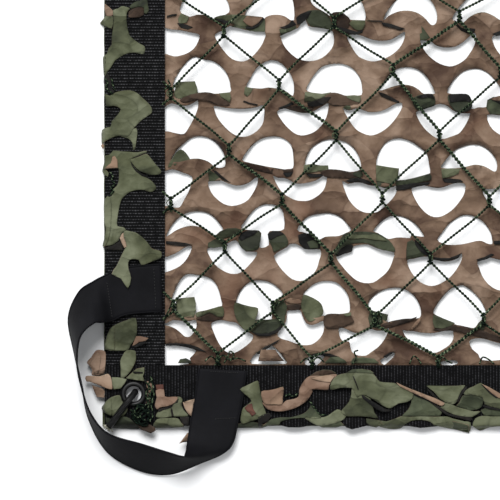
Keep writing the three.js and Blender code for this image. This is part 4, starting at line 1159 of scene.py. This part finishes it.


# ---- the leaf edging ----
# Each row is one leaf: its cloth, height in mm and outline. Rows of shade cloth are no leaves but painted
# shade, where gaps and folds between the leaves lie in shadow.
SIDE_LEAVES = read_rows([
    ("brown", 6.0, "105,4 109,7 113,11 113.5,15 111,17 106,16.5 104.5,9"),
    ("green", 6.2, "113.5,10.5 118,9 122,6.5 127,7.5 130,9 127.5,12 126.5,17 127,24 128,30 129.5,35 132,38 "
     "137,42 141,44.5 145,47 145,52 143,54.5 136,53.2 130,53 124,55 119,58 115,61 112,66 110,69 107,73 "
     "104.5,77 103.5,70 103,62 103.2,57 107,54 109,48.5 112,45 112,38 113,30 113.8,22 113.3,16"),
    ("green", 7.0, "100,23.5 103,19.5 106,16.5 113,16.8 113.5,24 112,29 107,27.5 102,25.5"),
    ("umber", 6.0, "129,12 133,9 138,7 144,7 144,15 140,17.5 134,18 128.5,18"),
    ("moss", 6.6, "134,3 140,1 147,0 148,6 149,10 147,14 144,13 144,8 138,7 132,9 130,7"),
    ("shade", 5.6, "104,77 107,72 111,80 112,88 115,92 112,95 108,93 105,88 103.7,82"),
    ("green", 6.6, "105.5,94 110,96 115,93 121,91.3 128,90.5 134,91.5 139,94.5 143,98.5 147,102 150.5,106 "
     "152,109 152,112.5 149.5,115 145,118 141,121 137,125 133,129.5 131,134 127,137 121,136 116,136.5 "
     "110,139 105,141.5 102,144.5 101.5,138 102,130 108,127.5 111,126.5 112,121 116,117 119,113.5 "
     "121,109.5 118,107 113,106 106.5,106.5 105.8,100"),
    ("green", 6.3, "127,134 131,131 136.5,128 137.5,134 136.5,140 135.5,149 133,150 132.5,143 128,138.5 "
     "121,136.5"),
    ("pale", 5.6, "101,146 103,143.5 104.5,146 103.5,150"),
    ("green", 6.4, "105,156 109,155 112,152.5 114,150.5 122,151.5 130,152 138,152.5 146,151 146.5,153 "
     "140,155 133,158 131,160 133,165 137,169.5 141,173.5 146,177 151,180.5 154.5,184 156.5,188 154,191 "
     "150,192 144,190 138,190 131,191.5 126,195 122,199 120,205 118.5,212 117.5,219 117.5,226 123,227 "
     "126,230 122,234 120.5,238 117,242 112,245 107,245.5 102.5,246.5 104,240 105.5,234 106,228 104.5,222 "
     "104,212 104.2,200 107,198 112,196 113,192 113.5,189 117,186 119,180 119,170 117.5,168.5 110,168.5 "
     "104.5,170 102.3,170.5 104,164 105,158"),
    ("green", 7.4, "104.5,200 110.5,197 111.5,210 111,222 110,234 106,245 103,246 105.5,235 106,228 "
     "104.5,220"),
    ("green", 6.5, "102,171 106,170 109,173 108,177 104.5,175"),
    ("shade", 7.0, "133,158 140,155 146.5,152.5 147,154 141,156.5 134,159.5"),
    ("shade", 6.8, "130.5,161 134,167 138,171 143,174 148,175.5 148,178 142,176 136,171.5 132,166"),
    ("green", 8.8, "130.5,160 134,158.5 140,156.5 146,154 148.5,155.5 152,159.5 156,164.5 160,169 "
     "161.5,172 159,174.5 152,175 146,173.5 140,171 135,166.5"),
    ("pale", 7.6, "112.5,157 115,156 117.5,160 118,168 110,168.5 104.5,168.8 108,165.5 111,163.5 112,160"),
    ("shade", 5.6, "118,242 121,241 124,247 122,250 112,250 105,249 103,247 112,245.5"),
    ("green", 9.8, "126.5,230.5 131,231.5 136,232.5 141,236 145,239.5 149,244 152,248.5 157,250 161.5,252 "
     "161,258 153,261 147,263.5 141.5,265 139,260 132,259 128.5,262 128.7,269 131.3,278 128,288.4 "
     "121.3,278.5 112.2,274 117,266 121.3,256.6 125,249 127,245 124,237 124,232"),
    ("pale", 7.8, "120,238 122,234 124,232.5 126.5,240 127.5,246 124.5,248 122,243"),
])
CORNER_LEAVES = read_rows([
    ("green", 8.6, "106.5,338 110,329 117,324 127,320 136.2,318 137,333 134.5,340 130.5,345 128,350 "
     "118,350.5 104.7,349.5 105.5,343"),
    ("green", 9.6, "106.5,338 110,329 115,325.5 114.8,338 115.2,350 104.7,349.5 105.5,343"),
    ("shade", 8.2, "133,347 138,342.5 145,340.5 147,343 141,345 136,347.5"),
    ("pale", 9.0, "132.5,345.5 135,339 136.5,336 141,336 148.7,337.8 146,340.5 139,342 135,345"),
    ("green", 8.6, "121,368 120.5,361 123,355 127,350 135,350.5 136,354 136,360 133,367 129,373 124,377.5 "
     "121,376.5"),
    ("tan", 7.0, "87,362 91,357.5 94,353 97,349.8 103,350 105.5,352 106,357 105.5,366 104.5,373 101,375 "
     "92,375 92.5,370 90,366"),
    ("brown", 7.8, "90,363 94,356 98,352 101,356 100,366 99,373 94,374 94,369"),
    ("pale", 8.8, "86,376 92,375.5 100,376 106,374 109,374 111.5,378 112.5,385 112,389 104,387 97,384 "
     "90,381.5 86.5,381"),
    ("shade", 9.4, "89,380 97,378 104,378 98,380"),
    ("brown", 6.8, "92,385 97,386.5 103,388.5 105,391 104.5,397.5 97,396.5 94.5,391"),
    ("green", 9.0, "112,377 117,377 122,377.5 127,379 125,383 121,388 114,389 112.5,384"),
    ("green", 9.2, "126,378 131,373.5 137,368.5 144.5,367 144.5,372 143,376 145,381 139,380 132,379"),
    ("shade", 9.9, "133,371 143,371.5 143,373 134,373"),
    ("green", 8.8, "101.5,408.5 104,404 109,398.5 114,396 120,395 122,400 126,406 128,409 124,415 118,416 "
     "110,415.5 106,413"),
    ("green", 9.8, "101.5,408.5 104,404 109,398.5 111.5,397.5 112,406 112.5,415.8 106,413"),
    ("moss", 8.2, "106,417 112,419 122,416 130,418 136,424 142,426.5 138,429 126,428.5 116,428 108,426"),
    ("tan", 9.4, "146,381 150,381 153,385 152.5,390 149,391.5 147,386"),
    ("umber", 9.2, "147,391 151,391 150.5,400 149,405 145.5,404 147.5,397"),
    ("shade", 9.2, "158,409 166,406.5 172,405 176,402 179,398 178,402 172,407 164,409.5 159,412"),
    ("green", 9.0, "176,397 180,396.5 182.5,399 182,405 184,410 188,414 187,416 178,416 172,416 166,417 "
     "158,417.5 156,415 160,410 168,407.5 174,404"),
    ("rust", 9.8, "156,384.5 163.5,384 164,389 161,392 157,391"),
    ("tan", 10.0, "156,390 164,389 165,396 171,396.5 178,396.5 176,401 172,404 166,406 160,407 157.5,409 "
     "155,405 157,397"),
    ("shade", 9.8, "171,407 172.5,409 174,416 172,416 171,411"),
    ("shade", 9.3, "180,417 189,416.5 189,426 184,425 181,421"),
    ("green", 8.8, "153,426 156,420 160,418 170,417.5 178,418 181,422 184,426.5 176,427.5 165,428 158,428"),
    ("pale", 10.2, "183,402 189,400 195,398.5 193.5,405 191.5,416 188,413 185,408"),
    ("umber", 9.0, "138,426 144,426 150,424 155,427 156,430 151,433 146,431 141,429"),
    ("pale", 9.0, "179.4,443.2 184,437 188,432 190,436 188,441.5 183,442"),
])
END_LEAVES = read_rows([
    ("moss", 8.0, "236,424 252,421 262,424 270,425 262,428 236,428"),
    ("moss", 8.8, "271,419 280,417 290,417 298,415 304,413 309,408 312,402 313,405 318,413 321,418 "
     "306,417.5 294,418 284,420 280,422 279,424.5 270,425 262,427 266,423"),
    ("web", 7.8, "282,419.5 292,418.5 304,417.5 308,420 314,424.5 300,427 288,427 281,425"),
    ("shade", 9.6, "258,417 264,413.5 270,413 271,416 268,421 262,423 260,428.5 258,425"),
    ("green", 9.6, "240,389 246,385.5 252,382.5 257.5,380.3 259,384 260,390 262,399 263,405 266,413 "
     "262,416 257,419 251,420.5 243,423.5 240.5,420 241.5,413 243.5,407 251.5,401 247,395.5"),
    ("rust", 10.6, "244.5,407.5 248,404 252,403 253,408 256,413 252,416 249,412 247,411"),
    ("umber", 9.6, "309,376 316,371.5 323,369.5 331,370 336,373 330,374.5 320,375.5"),
    ("tan", 10.0, "262,402 266,407.5 271,410 279,411 287,410 294,408 300,405 306,401 310,396 312.5,391 "
     "312,389 320,389.3 328,389.5 329,385 332,380 337,374.5 332,374 322,375.5 311,375.5 306,378 301.5,384 "
     "299,390 298.5,396 294,398.5 287,399.8 284.5,401.5 281,404 272,405 266,403.5"),
    ("pale", 11.0, "261.5,391 268,390 276,388.5 283,386.5 283.5,392 282.5,398 282,404 274,404 266,404 "
     "262,399"),
    ("pale", 11.0, "311,378 320,376 330,375 334,376 330,382 322,381 314,379"),
    ("green", 8.8, "337,409 342,411 346,416 340,421 330,424 318,425.5 308,420 305,417.5 315,416.5 320,417 "
     "326,416 331,413"),
    ("moss", 8.2, "310,421 318,424 330,423 340,421 344,425 336,427.5 322,427.5"),
    ("web", 8.6, "343,418 350,417 360,417 366,419 368,425 352,429 346,427 342,422"),
    ("green", 9.2, "366,418 373,419 379,420 382,424 376,427.5 370,426 366,422"),
    ("green", 9.6, "352,388 358,392 364,395 370,398 372,404 374,412 378,418 371,417 362,416 352,416 "
     "346,415.5 341,411 345,406 349,401 351,394"),
    ("green", 10.4, "330,389 331,382 337,375 345,373 352,370 360,369.5 367,370 372,373 376,377 379,381 "
     "385,382 393,382.5 397,384 403,388 409,391 413,394 411,399 405,402 398,403 391,407.5 386,407 379,403 "
     "373,399 366,395 360,394.5 357,397 354,391 351,387.5 340,387.5 336,388.5"),
    ("shade", 10.5, "362,394.5 366,397 372,401 379,405 386,409 391,409.5 384,411.5 376,408.5 368,402.5 "
     "362,397"),
    ("shade", 11.5, "352.5,376 353.5,376 356,382 358.5,389 357.5,389 355,382.5"),
    ("moss", 11.0, "346,372.5 352,369 362,368.5 370,370 374,373 366,372.5 356,372"),
    ("moss", 9.0, "412,394 420,397 430,399 436,405 441,410 440,415 430,416 420,416 405,416 402,415 408,409 "
     "411,402"),
    ("web", 7.8, "404,425 411,420.8 421,420 430,421.8 437,426 420,427.5"),
    ("green", 9.0, "378,420 386,421 396,418 401,416 409,416.5 420,416 434,416.5 446,416 452,418 464,421 "
     "470,422 470,431 462,430.5 452,429 442,427 434,425 430,421.5 421,419.5 411,420.5 404,425 400,428.5 "
     "390,429 381,427 376,424"),
    ("shade", 9.6, "402,386 412,390 424,396 434,403 440,407 448,413 460,415.5 471,417 470,420.5 458,417.5 "
     "446,414.5 438,408.5 428,401 416,396 404,389"),
    ("pale", 11.2, "396,382 401,384.5 409,388 418,391.5 427,395 434,397.5 441,401 444,403 441,405.5 "
     "434,402.5 426,398.5 417,394.5 407,390 400,386.5"),
    ("green", 9.8, "444,402 452,404.5 458,407 466,409 473,411 480,411 472,416.5 464,416 455,414.5 "
     "447,411.5 440,407 442,404"),
    ("green", 10.2, "426,385.5 434,385.5 445,385.5 456,385.5 464.5,385 461,390 458,396 456,401.5 452,404 "
     "446,402 439,398 433,391"),
    ("shade", 9.8, "427,388 432,392 438,399 445,402.5 441,403 434,398 429,392"),
    ("shade", 9.8, "465,386 466,388 461,395 458,402 456,401 459,392"),
    ("moss", 9.9, "459,402 462,395.5 468,394.5 474,395 482,397.5 482,404 479,408 470,410 462,407.5 "
     "456,405.5"),
    ("moss", 9.0, "480,410 486,407 494,408.5 512,409.5 512,416 484,415.5"),
    ("green", 10.4, "463,393 467,388.5 473,386 480,382.5 486,387 491,392 496,396 506,398.5 512,399 512,409 "
     "500,408.5 492,406.5 484,404 482,397 474,395 466,395"),
    ("shade", 11.0, "480,383.5 487,388 493,393.5 499,397.5 495,397.5 488,392"),
    ("pale", 11.4, "481,383.5 488,386.5 494,390 500,393.5 512,395 512,399.5 498,397.5 492,393.5 487,389"),
    ("shade", 10.2, "482,404.5 490,406.5 500,409 512,409 500,410.5 488,408.5 482,406"),
    ("green", 9.2, "472,425 475,418 482,415.5 490,416 500,416 512,416 512,426 500,426 490,427 485,429 "
     "480,430.5 475,428"),
    ("moss", 9.8, "452,421 462,423 468,425 469,433 463,431.5 452,428.5"),
])

# Loose twine on the seen quarter: its height in mm and its route.
SEEN_STRANDS = read_rows([
    (6.6, "105,79 108,83 106,87 109,91 113,94"),
    (6.4, "112,79 113,85 115,90"),
    (6.6, "110,172 113,176 112,180 115,184 111,188 114,191 110,195"),
    (8.6, "310,401 313,406 316,410 320,414 328,415"),
    (8.2, "285,396 289,394 293,396 298,393"),
    (9.8, "151,376 153,385 154,395 152,405 153,415 150,421"),
    (10.2, "146,381 149,387 146,394 149,401 146,405"),
    (10.4, "138,407 135,411 136,416 140,417 141,413"),
    (9.4, "148,383 151,388 148,391 151,397 147,399 150,404"),
    (9.6, "153,379 149,383 152,391 149,396 152,401 148,407"),
    (7.2, "205,361 211,356 217,360 223,355 230,359 238,358 246,361"),
    (8.0, "224,363 228,356 230,351 234,354 231,360 227,358"),
    (7.6, "300,363 306,358 311,361 318,357 324,362"),
    (7.8, "352,364 356,358 354,352 358,350"),
    (7.8, "409,364 413,356 418,359 421,364"),
    (7.8, "436,364 442,357 447,361 452,363"),
    (7.8, "479,364 482,357 488,359 494,364"),
    (8.4, "370,326 374,318 378,311 381,318 377,325"),
    (8.4, "270,316 274,308 280,302 285,299"),
    (8.4, "163,320 168,312 173,300"),
    (8.0, "164,90 170,86 168,80"),
    (8.0, "163,214 168,208 172,212"),
])

# The bare knotted twine beside the seen eyelet, written the same way.
TANGLE = read_rows([
    (8.4, "134,405 140,404 147,407 150,413 147,421 140,424 134,420 132,413"),
    (8.8, "137,404 143,409 149,411 144,416 138,421 134,416 139,411 146,405"),
    (9.2, "152,404 146,410 140,414 144,420 151,419 147,413 142,407 135,408"),
    (9.0, "131,409 137,414 143,418 148,424 142,425 137,418 133,412 138,406"),
])

STRAIGHT = 9                       # outlines with up to this many points keep their corners
LEAF_SPACING = 2.1 * MM
LEAF_CRUMPLE, CLEAR_OF_WEBBING = 1.25 * MM, 0.6 * MM
EDGE_BEND, EDGE_DROP, EDGE_LOWEST = 2.5 * MM, 4 * MM, 1.2 * MM   # how far out the cloth is how much lower
# Painted highlight: on loose twine, the pale faces stand for light on its strands.
STRAND_FLECK, TANGLE_FLECK = 3, 23 # one face in so many is pale
HEM = [(-0.5, 2.8), (-0.7, 1.8), (-0.2, 1.0), (6, 1.2), (11.6, 1.4)]   # its section: how far in and up, in mm
HEM_STEPS, HEM_RIPPLE = 120, 0.35 * MM
SIDE_HEM_SHORT, END_HEM_LONG = 52 * MM, 2 * MM  # by how much, at each end, against the panel's own length
SIDE_SHIFT, SIDE_END = (1, -294), -270      # the side leaves' next copy, and where it stops, in units
END_SHIFT, END_END = (268, 0), 812
MIDDLE = 486.6                     # the panel's middle, in units from the picture's left


def over_edge(z, past):
    """Cloth that stands out past the webbing's edge bends down over it."""
    return z if past < 0 else max(z - EDGE_DROP * (past / EDGE_BEND) ** 1.5, EDGE_LOWEST)


def add_leaf(cloth, kind, height, outline, place):
    """One leaf of the edging. place maps a point of the seen corner to where this copy lies."""
    outline = [spot(*p) for p in outline]
    points, faces = fill(rounded(outline) if len(outline) > STRAIGHT else outline, LEAF_SPACING)
    heights = []
    for x, y in points:
        lowest = (END_TOP if abs(y) > HALF - WEB else SIDE_TOP) + CLEAR_OF_WEBBING
        z = max(height * MM + LEAF_CRUMPLE * crumple(x, y), lowest)
        if kind in ("green", "moss", "shade"):
            z = over_edge(z, -HALF + 0.8 * MM - min(x, y))
        heights.append(z)
    spots = np.array([place(x, y) for x, y in points])
    cloth.add(np.column_stack([spots, heights]), faces, LEAF_SLOTS[kind], reverse_of(kind))


def add_strand(net, height, route, every):
    """A loose end or stitch of twine that rises and falls at every other point."""
    points = [(*spot(*p), height * MM + 0.8 * MM * (i % 2)) for i, p in enumerate(route)]
    add_flecked(net, through(points, 4), LOOSE_TWINE, every)


def shifted(rows, dx, dy, keep):
    """Copies of the leaves moved by dx and dy units, without those that reach past what keep allows."""
    moved = [(kind, z, [(x + dx, y + dy) for x, y in outline]) for kind, z, outline in rows]
    return [row for row in moved if all(keep(*p) for p in row[2])]


def add_hem(cloth, quarter):
    """The strip's turned-in part, in under the webbing along the side so many quarter turns from the lower."""
    turn = Matrix.Rotation(math.pi / 2 * quarter, 2)
    end = HALF - (SIDE_HEM_SHORT if quarter % 2 else -END_HEM_LONG)
    points, faces = [], []
    for i in range(HEM_STEPS + 1):
        along = -end + 2 * end * i / HEM_STEPS
        for out, z in HEM:
            ripple = HEM_RIPPLE * unevenness(along * 90, out, quarter)
            p = turn @ Vector((along, -HALF + out * MM + (ripple if out < 0 else 0)))
            points.append((p.x, p.y, z * MM))
    width = len(HEM)
    for i in range(HEM_STEPS):
        for k in range(width - 1):
            a = i * width + k
            faces.append((a, a + 1, a + width + 1, a + width))
    cloth.add(points, faces, 1, 1)


# ---- straps, eyelets and the tie cord ----
# The tape's inner and outer edge, x, y and z each, in mm inward from the webbing's outer corner and up from
# the floor, from the side webbing round to the end webbing.
STRAP = [
    (48.3, 94.2, 6.8, 46.7, 134.6, 6.8), (19.2, 91.7, 6.8, 15.0, 131.7, 6.8),
    (6.7, 86.5, 8.6, 0.8, 125.6, 6.9), (-0.5, 85.8, 24.0, -10.0, 120.0, 6.6),
    (-8.5, 85.4, 34.0, -22.5, 110.8, 3.0), (-19.6, 74.2, 38.6, -30.8, 89.2, 1.2),
    (-22.1, 53.3, 41.0, -25.6, 60.0, 0.8), (-18.6, 33.3, 41.3, -19.4, 31.7, 0.8),
    (-11.0, 11.0, 40.5, -13.4, 4.2, 0.8), (3.6, -6.0, 38.0, 2.0, -22.8, 0.8),
    (31.7, -15.0, 33.5, 28.4, -38.3, 0.9), (54.2, -22.0, 37.0, 54.2, -41.4, 1.6),
    (65.4, -25.0, 38.0, 80.8, -31.4, 4.6), (67.3, -21.5, 29.0, 98.6, -23.6, 8.8),
    (68.4, -14.0, 15.5, 107.2, -14.6, 9.4), (70.8, 2.5, 8.6, 111.6, 4.0, 8.4),
    (74.4, 22.8, 8.3, 115.4, 22.4, 8.3), (77.6, 47.3, 8.3, 118.6, 45.2, 8.3),
]
STRAP_STEPS, ACROSS = 8, 12        # the tape's grid, along each stretch and from edge to edge
STRAP_THICK, SELVEDGE, STITCH = 1.1 * MM, 0.5 * MM, 0.38 * MM   # the last two are radii
STRAP_SEAMS = (((2, 1), (2, 11)), ((16, 1), (16, 10)), ((121, 6), (121, 11)), ((135, 3), (135, 10)))
STITCHES = 13                      # to each seam
EYELET_AT = (HALF - 24 * MM, HALF - 26 * MM)
EYELET_SEGMENTS = 56
EYELET = [      # its section: radius and height in mm
    (6.4, 2.2), (10.2, 2.1), (10.5, 2.6), (10.3, 3.1), (7.2, 3.2), (7.1, 6.3), (10.3, 6.4), (10.6, 6.9),
    (10.3, 7.6), (9.4, 8.1), (8.4, 8.2), (7.4, 7.9), (6.7, 7.2), (6.5, 6.4), (6.4, 4.5),
]
TIE_TURN = math.atan2(-27.7, -21.1)     # the way it lies on the panel
TIE_RADIUS = 2.75 * MM
TIE_ROUTE = [   # how far out from the eyelet's middle, and how high, in mm
    (-2.5, 3.2), (0.6, 7.0), (3.7, 10.0), (7.8, 11.6), (13.5, 11.5), (20.5, 11.2), (27.5, 10.9), (34.5, 10.7),
]
YARNS, YARN = 26, 0.42 * MM        # their number and radius


def make_strap(name, sign_x, sign_y, material, thread):
    """The tape that stands round a corner as a loop, sewn down at both ends. It bows more where it stands."""
    inner = through([row[:3] for row in STRAP], STRAP_STEPS)
    outer = through([row[3:] for row in STRAP], STRAP_STEPS)
    points, faces = [], []
    for a, b in zip(inner, outer):
        for k in range(ACROSS + 1):
            t = k / ACROSS
            p = a.lerp(b, t)
            bow = 1.3 * math.sin(math.pi * t) * (0.4 + 0.6 * min(1.0, max(a.z - 8, 0) / 20))
            x, y = sign_x * (HALF - p.x * MM), sign_y * (HALF - p.y * MM)
            points.append((x, y, (p.z + bow * 0.6) * MM + 0.5 * MM))
    row = ACROSS + 1
    for i in range(len(inner) - 1):
        for k in range(ACROSS):
            face = (i * row + k, i * row + k + 1, (i + 1) * row + k + 1, (i + 1) * row + k)
            faces.append(face if sign_x * sign_y > 0 else tuple(reversed(face)))
    cloth = Cloth()
    cloth.add(points, faces, 0, 0, STRAP_THICK)
    add_selvedge(cloth, points, row)
    for start, end in STRAP_SEAMS:
        add_stitches(cloth, points, row, start, end)
    return cloth.make(name, material, thread)


def add_selvedge(cloth, points, row):
    """A fine thick edge along both sides of the tape."""
    for k, inward in ((0, 1), (row - 1, -1)):
        path = []
        for i in range(0, len(points), row):
            a, b = Vector(points[i + k]), Vector(points[i + k + inward])
            path.append(a.lerp(b, 0.25) + Vector((0, 0, 0.1 * MM)))
        cloth.add_tube(path, SELVEDGE, 5)


def add_stitches(cloth, points, row, start, end):
    """A row of short stitches over the tape, between two of its grid points."""
    a, b = (Vector(points[i * row + k]) for i, k in (start, end))
    rise = Vector((0, 0, 0.35 * MM))
    for n in range(STITCHES):
        p, q = a.lerp(b, (n + 0.2) / STITCHES), a.lerp(b, (n + 0.75) / STITCHES)
        cloth.add_tube([p + rise * 0.3, p.lerp(q, 0.5) + rise, q + rise * 0.3], STITCH, 5, 1)


def make_eyelet(name, sign_x, sign_y, material):
    """A rolled metal ring round the hole, from its section turned once about the middle."""
    cloth = Cloth()
    count = len(EYELET)
    for s in range(EYELET_SEGMENTS):
        angle = 2 * math.pi * s / EYELET_SEGMENTS
        for r, z in EYELET:
            cloth.verts.append((sign_x * EYELET_AT[0] + r * MM * math.cos(angle),
                                sign_y * EYELET_AT[1] + r * MM * math.sin(angle), z * MM))
    for s in range(EYELET_SEGMENTS):
        here, ahead = s * count, (s + 1) % EYELET_SEGMENTS * count
        for k in range(count):
            after = (k + 1) % count
            cloth.faces.append([here + k, ahead + k, ahead + after, here + after])
            cloth.slots.append(0)
    return cloth.make(name, material)


def make_tie(material):
    """The short cord that lies out through the seen eyelet."""
    out_x, out_y = math.cos(TIE_TURN), math.sin(TIE_TURN)
    route = [(-EYELET_AT[0] + s * MM * out_x, -EYELET_AT[1] + s * MM * out_y, z * MM) for s, z in TIE_ROUTE]
    path = through(route, 3)
    cloth = Cloth()
    cloth.add_tube(path, TIE_RADIUS, 20)
    piece = cloth.make("tie_cord_braided", material)
    return piece, path


def make_fray(path, material):
    """The cord's cut end: a short tuft of loose pale yarn."""
    cloth = Cloth()
    tip, back = path[-1], path[-4]
    ahead = (tip - back).normalized()
    side = Vector((-ahead.y, ahead.x, 0)).normalized()
    for n in range(YARNS):
        spread, lift = 3.4 * MM * 2 * jitter(n, 1, 3), 1.8 * MM * 2 * jitter(n, 2, 4)
        start = tip - ahead * 1.2 * MM + side * spread * 0.7 + Vector((0, 0, lift * 0.7))
        reach = ahead * (1.8 + 2.6 * (0.5 + jitter(n, 3, 5))) * MM
        bend = side * spread * (0.6 + jitter(n, 4, 7)) + Vector((0, 0, lift * 0.3))
        cloth.add_tube([start, start + reach * 0.6 + bend * 0.3, start + reach + bend], YARN, 4)
    return cloth.make("tie_cord_end", material)


# ---- make everything ----
make_stage()

leaf_cloths = [leaf_material(*row) for row in CLOTHS.values()]
# The end webbing's crests are painted darker than the side webbing's, as painted shade: its ribs run along the
# light.
side_webbing = webbing_material("webbing_side_ribs", "Y", "X", 88)
end_webbing = webbing_material("webbing_end_ribs", "X", "Y", 62)
leaf_slots = (*leaf_cloths, end_webbing)
tape = tape_material()
thread = plain_material("thread_black", (3, 3, 3), (14, 14, 15), 0.8, 700, 0.1 * MM)
twine = twine_material("twine_dark", (6, 12, 9), (16, 29, 22), (46, 62, 50))
# Painted highlight: the pale twine goes on the faces where strands catch the light.
highlight_fleck = twine_material("twine_pale_highlight", (32, 44, 34), (84, 100, 74), (172, 184, 150))
enamel = plain_material("eyelet_enamel", (2, 2, 2), (5, 5, 6), 0.5, 300, 0.05 * MM, specular=0.3)
cord = cord_material()
fibre = plain_material("cord_fibre", (120, 122, 104), (214, 210, 192), 0.8, 900, 0.1 * MM)

tie, tie_path = make_tie(cord)
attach(tie, "root")
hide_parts("tie_cord")
fray = make_fray(tie_path, fibre)
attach(fray, "root")

for node in ("webbing_left", "webbing_right", "webbing_bottom", "webbing_top"):
    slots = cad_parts[node].data.materials
    slots.clear()
    slots.append(side_webbing if node in ("webbing_left", "webbing_right") else end_webbing)

cuts, ends = all_cuts()
leaf_cloth = Cloth()
add_sheet(leaf_cloth, cuts)
add_seen_ends(leaf_cloth)
add_unseen_ends(leaf_cloth, ends)
leaf_sheet = leaf_cloth.make("leaf_sheet_cut", *leaf_slots)
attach(leaf_sheet, "root")
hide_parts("leaf_sheet")

net = make_net().make("twine_net_knotted", twine, highlight_fleck)
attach(net, "root")
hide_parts("twine_net")

# The leaves that show go on along each strip, and the corner's are mirrored at the end strips' other end.
side_rows = SIDE_LEAVES + shifted(SIDE_LEAVES, *SIDE_SHIFT, lambda x, y: y > SIDE_END)
end_rows = END_LEAVES + shifted(END_LEAVES, *END_SHIFT, lambda x, y: x < END_END) + CORNER_LEAVES
end_rows += [(kind, z, [(2 * MIDDLE - x, y) for x, y in outline]) for kind, z, outline in CORNER_LEAVES]
for name, rows, place, quarter in (("left", side_rows, same, 3), ("right", side_rows, opposite, 1),
                                   ("bottom", end_rows, same, 0), ("top", end_rows, opposite, 2)):
    strip = Cloth()
    for kind, height, outline in rows:
        add_leaf(strip, kind, height, outline, place)
    add_hem(strip, quarter)
    piece = strip.make("edging_" + name + "_leaves", *leaf_slots)
    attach(piece, "root")
    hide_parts("edging_" + name)

for name, sign_x, sign_y in (("bottom_left", -1, -1), ("bottom_right", 1, -1),
                             ("top_right", 1, 1), ("top_left", -1, 1)):
    strap = make_strap("strap_" + name + "_tape", sign_x, sign_y, tape, thread)
    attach(strap, "root")
    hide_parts("strap_" + name)
    ring = make_eyelet("eyelet_" + name + "_ring", sign_x, sign_y, enamel)
    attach(ring, "root")
    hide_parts("eyelet_" + name)
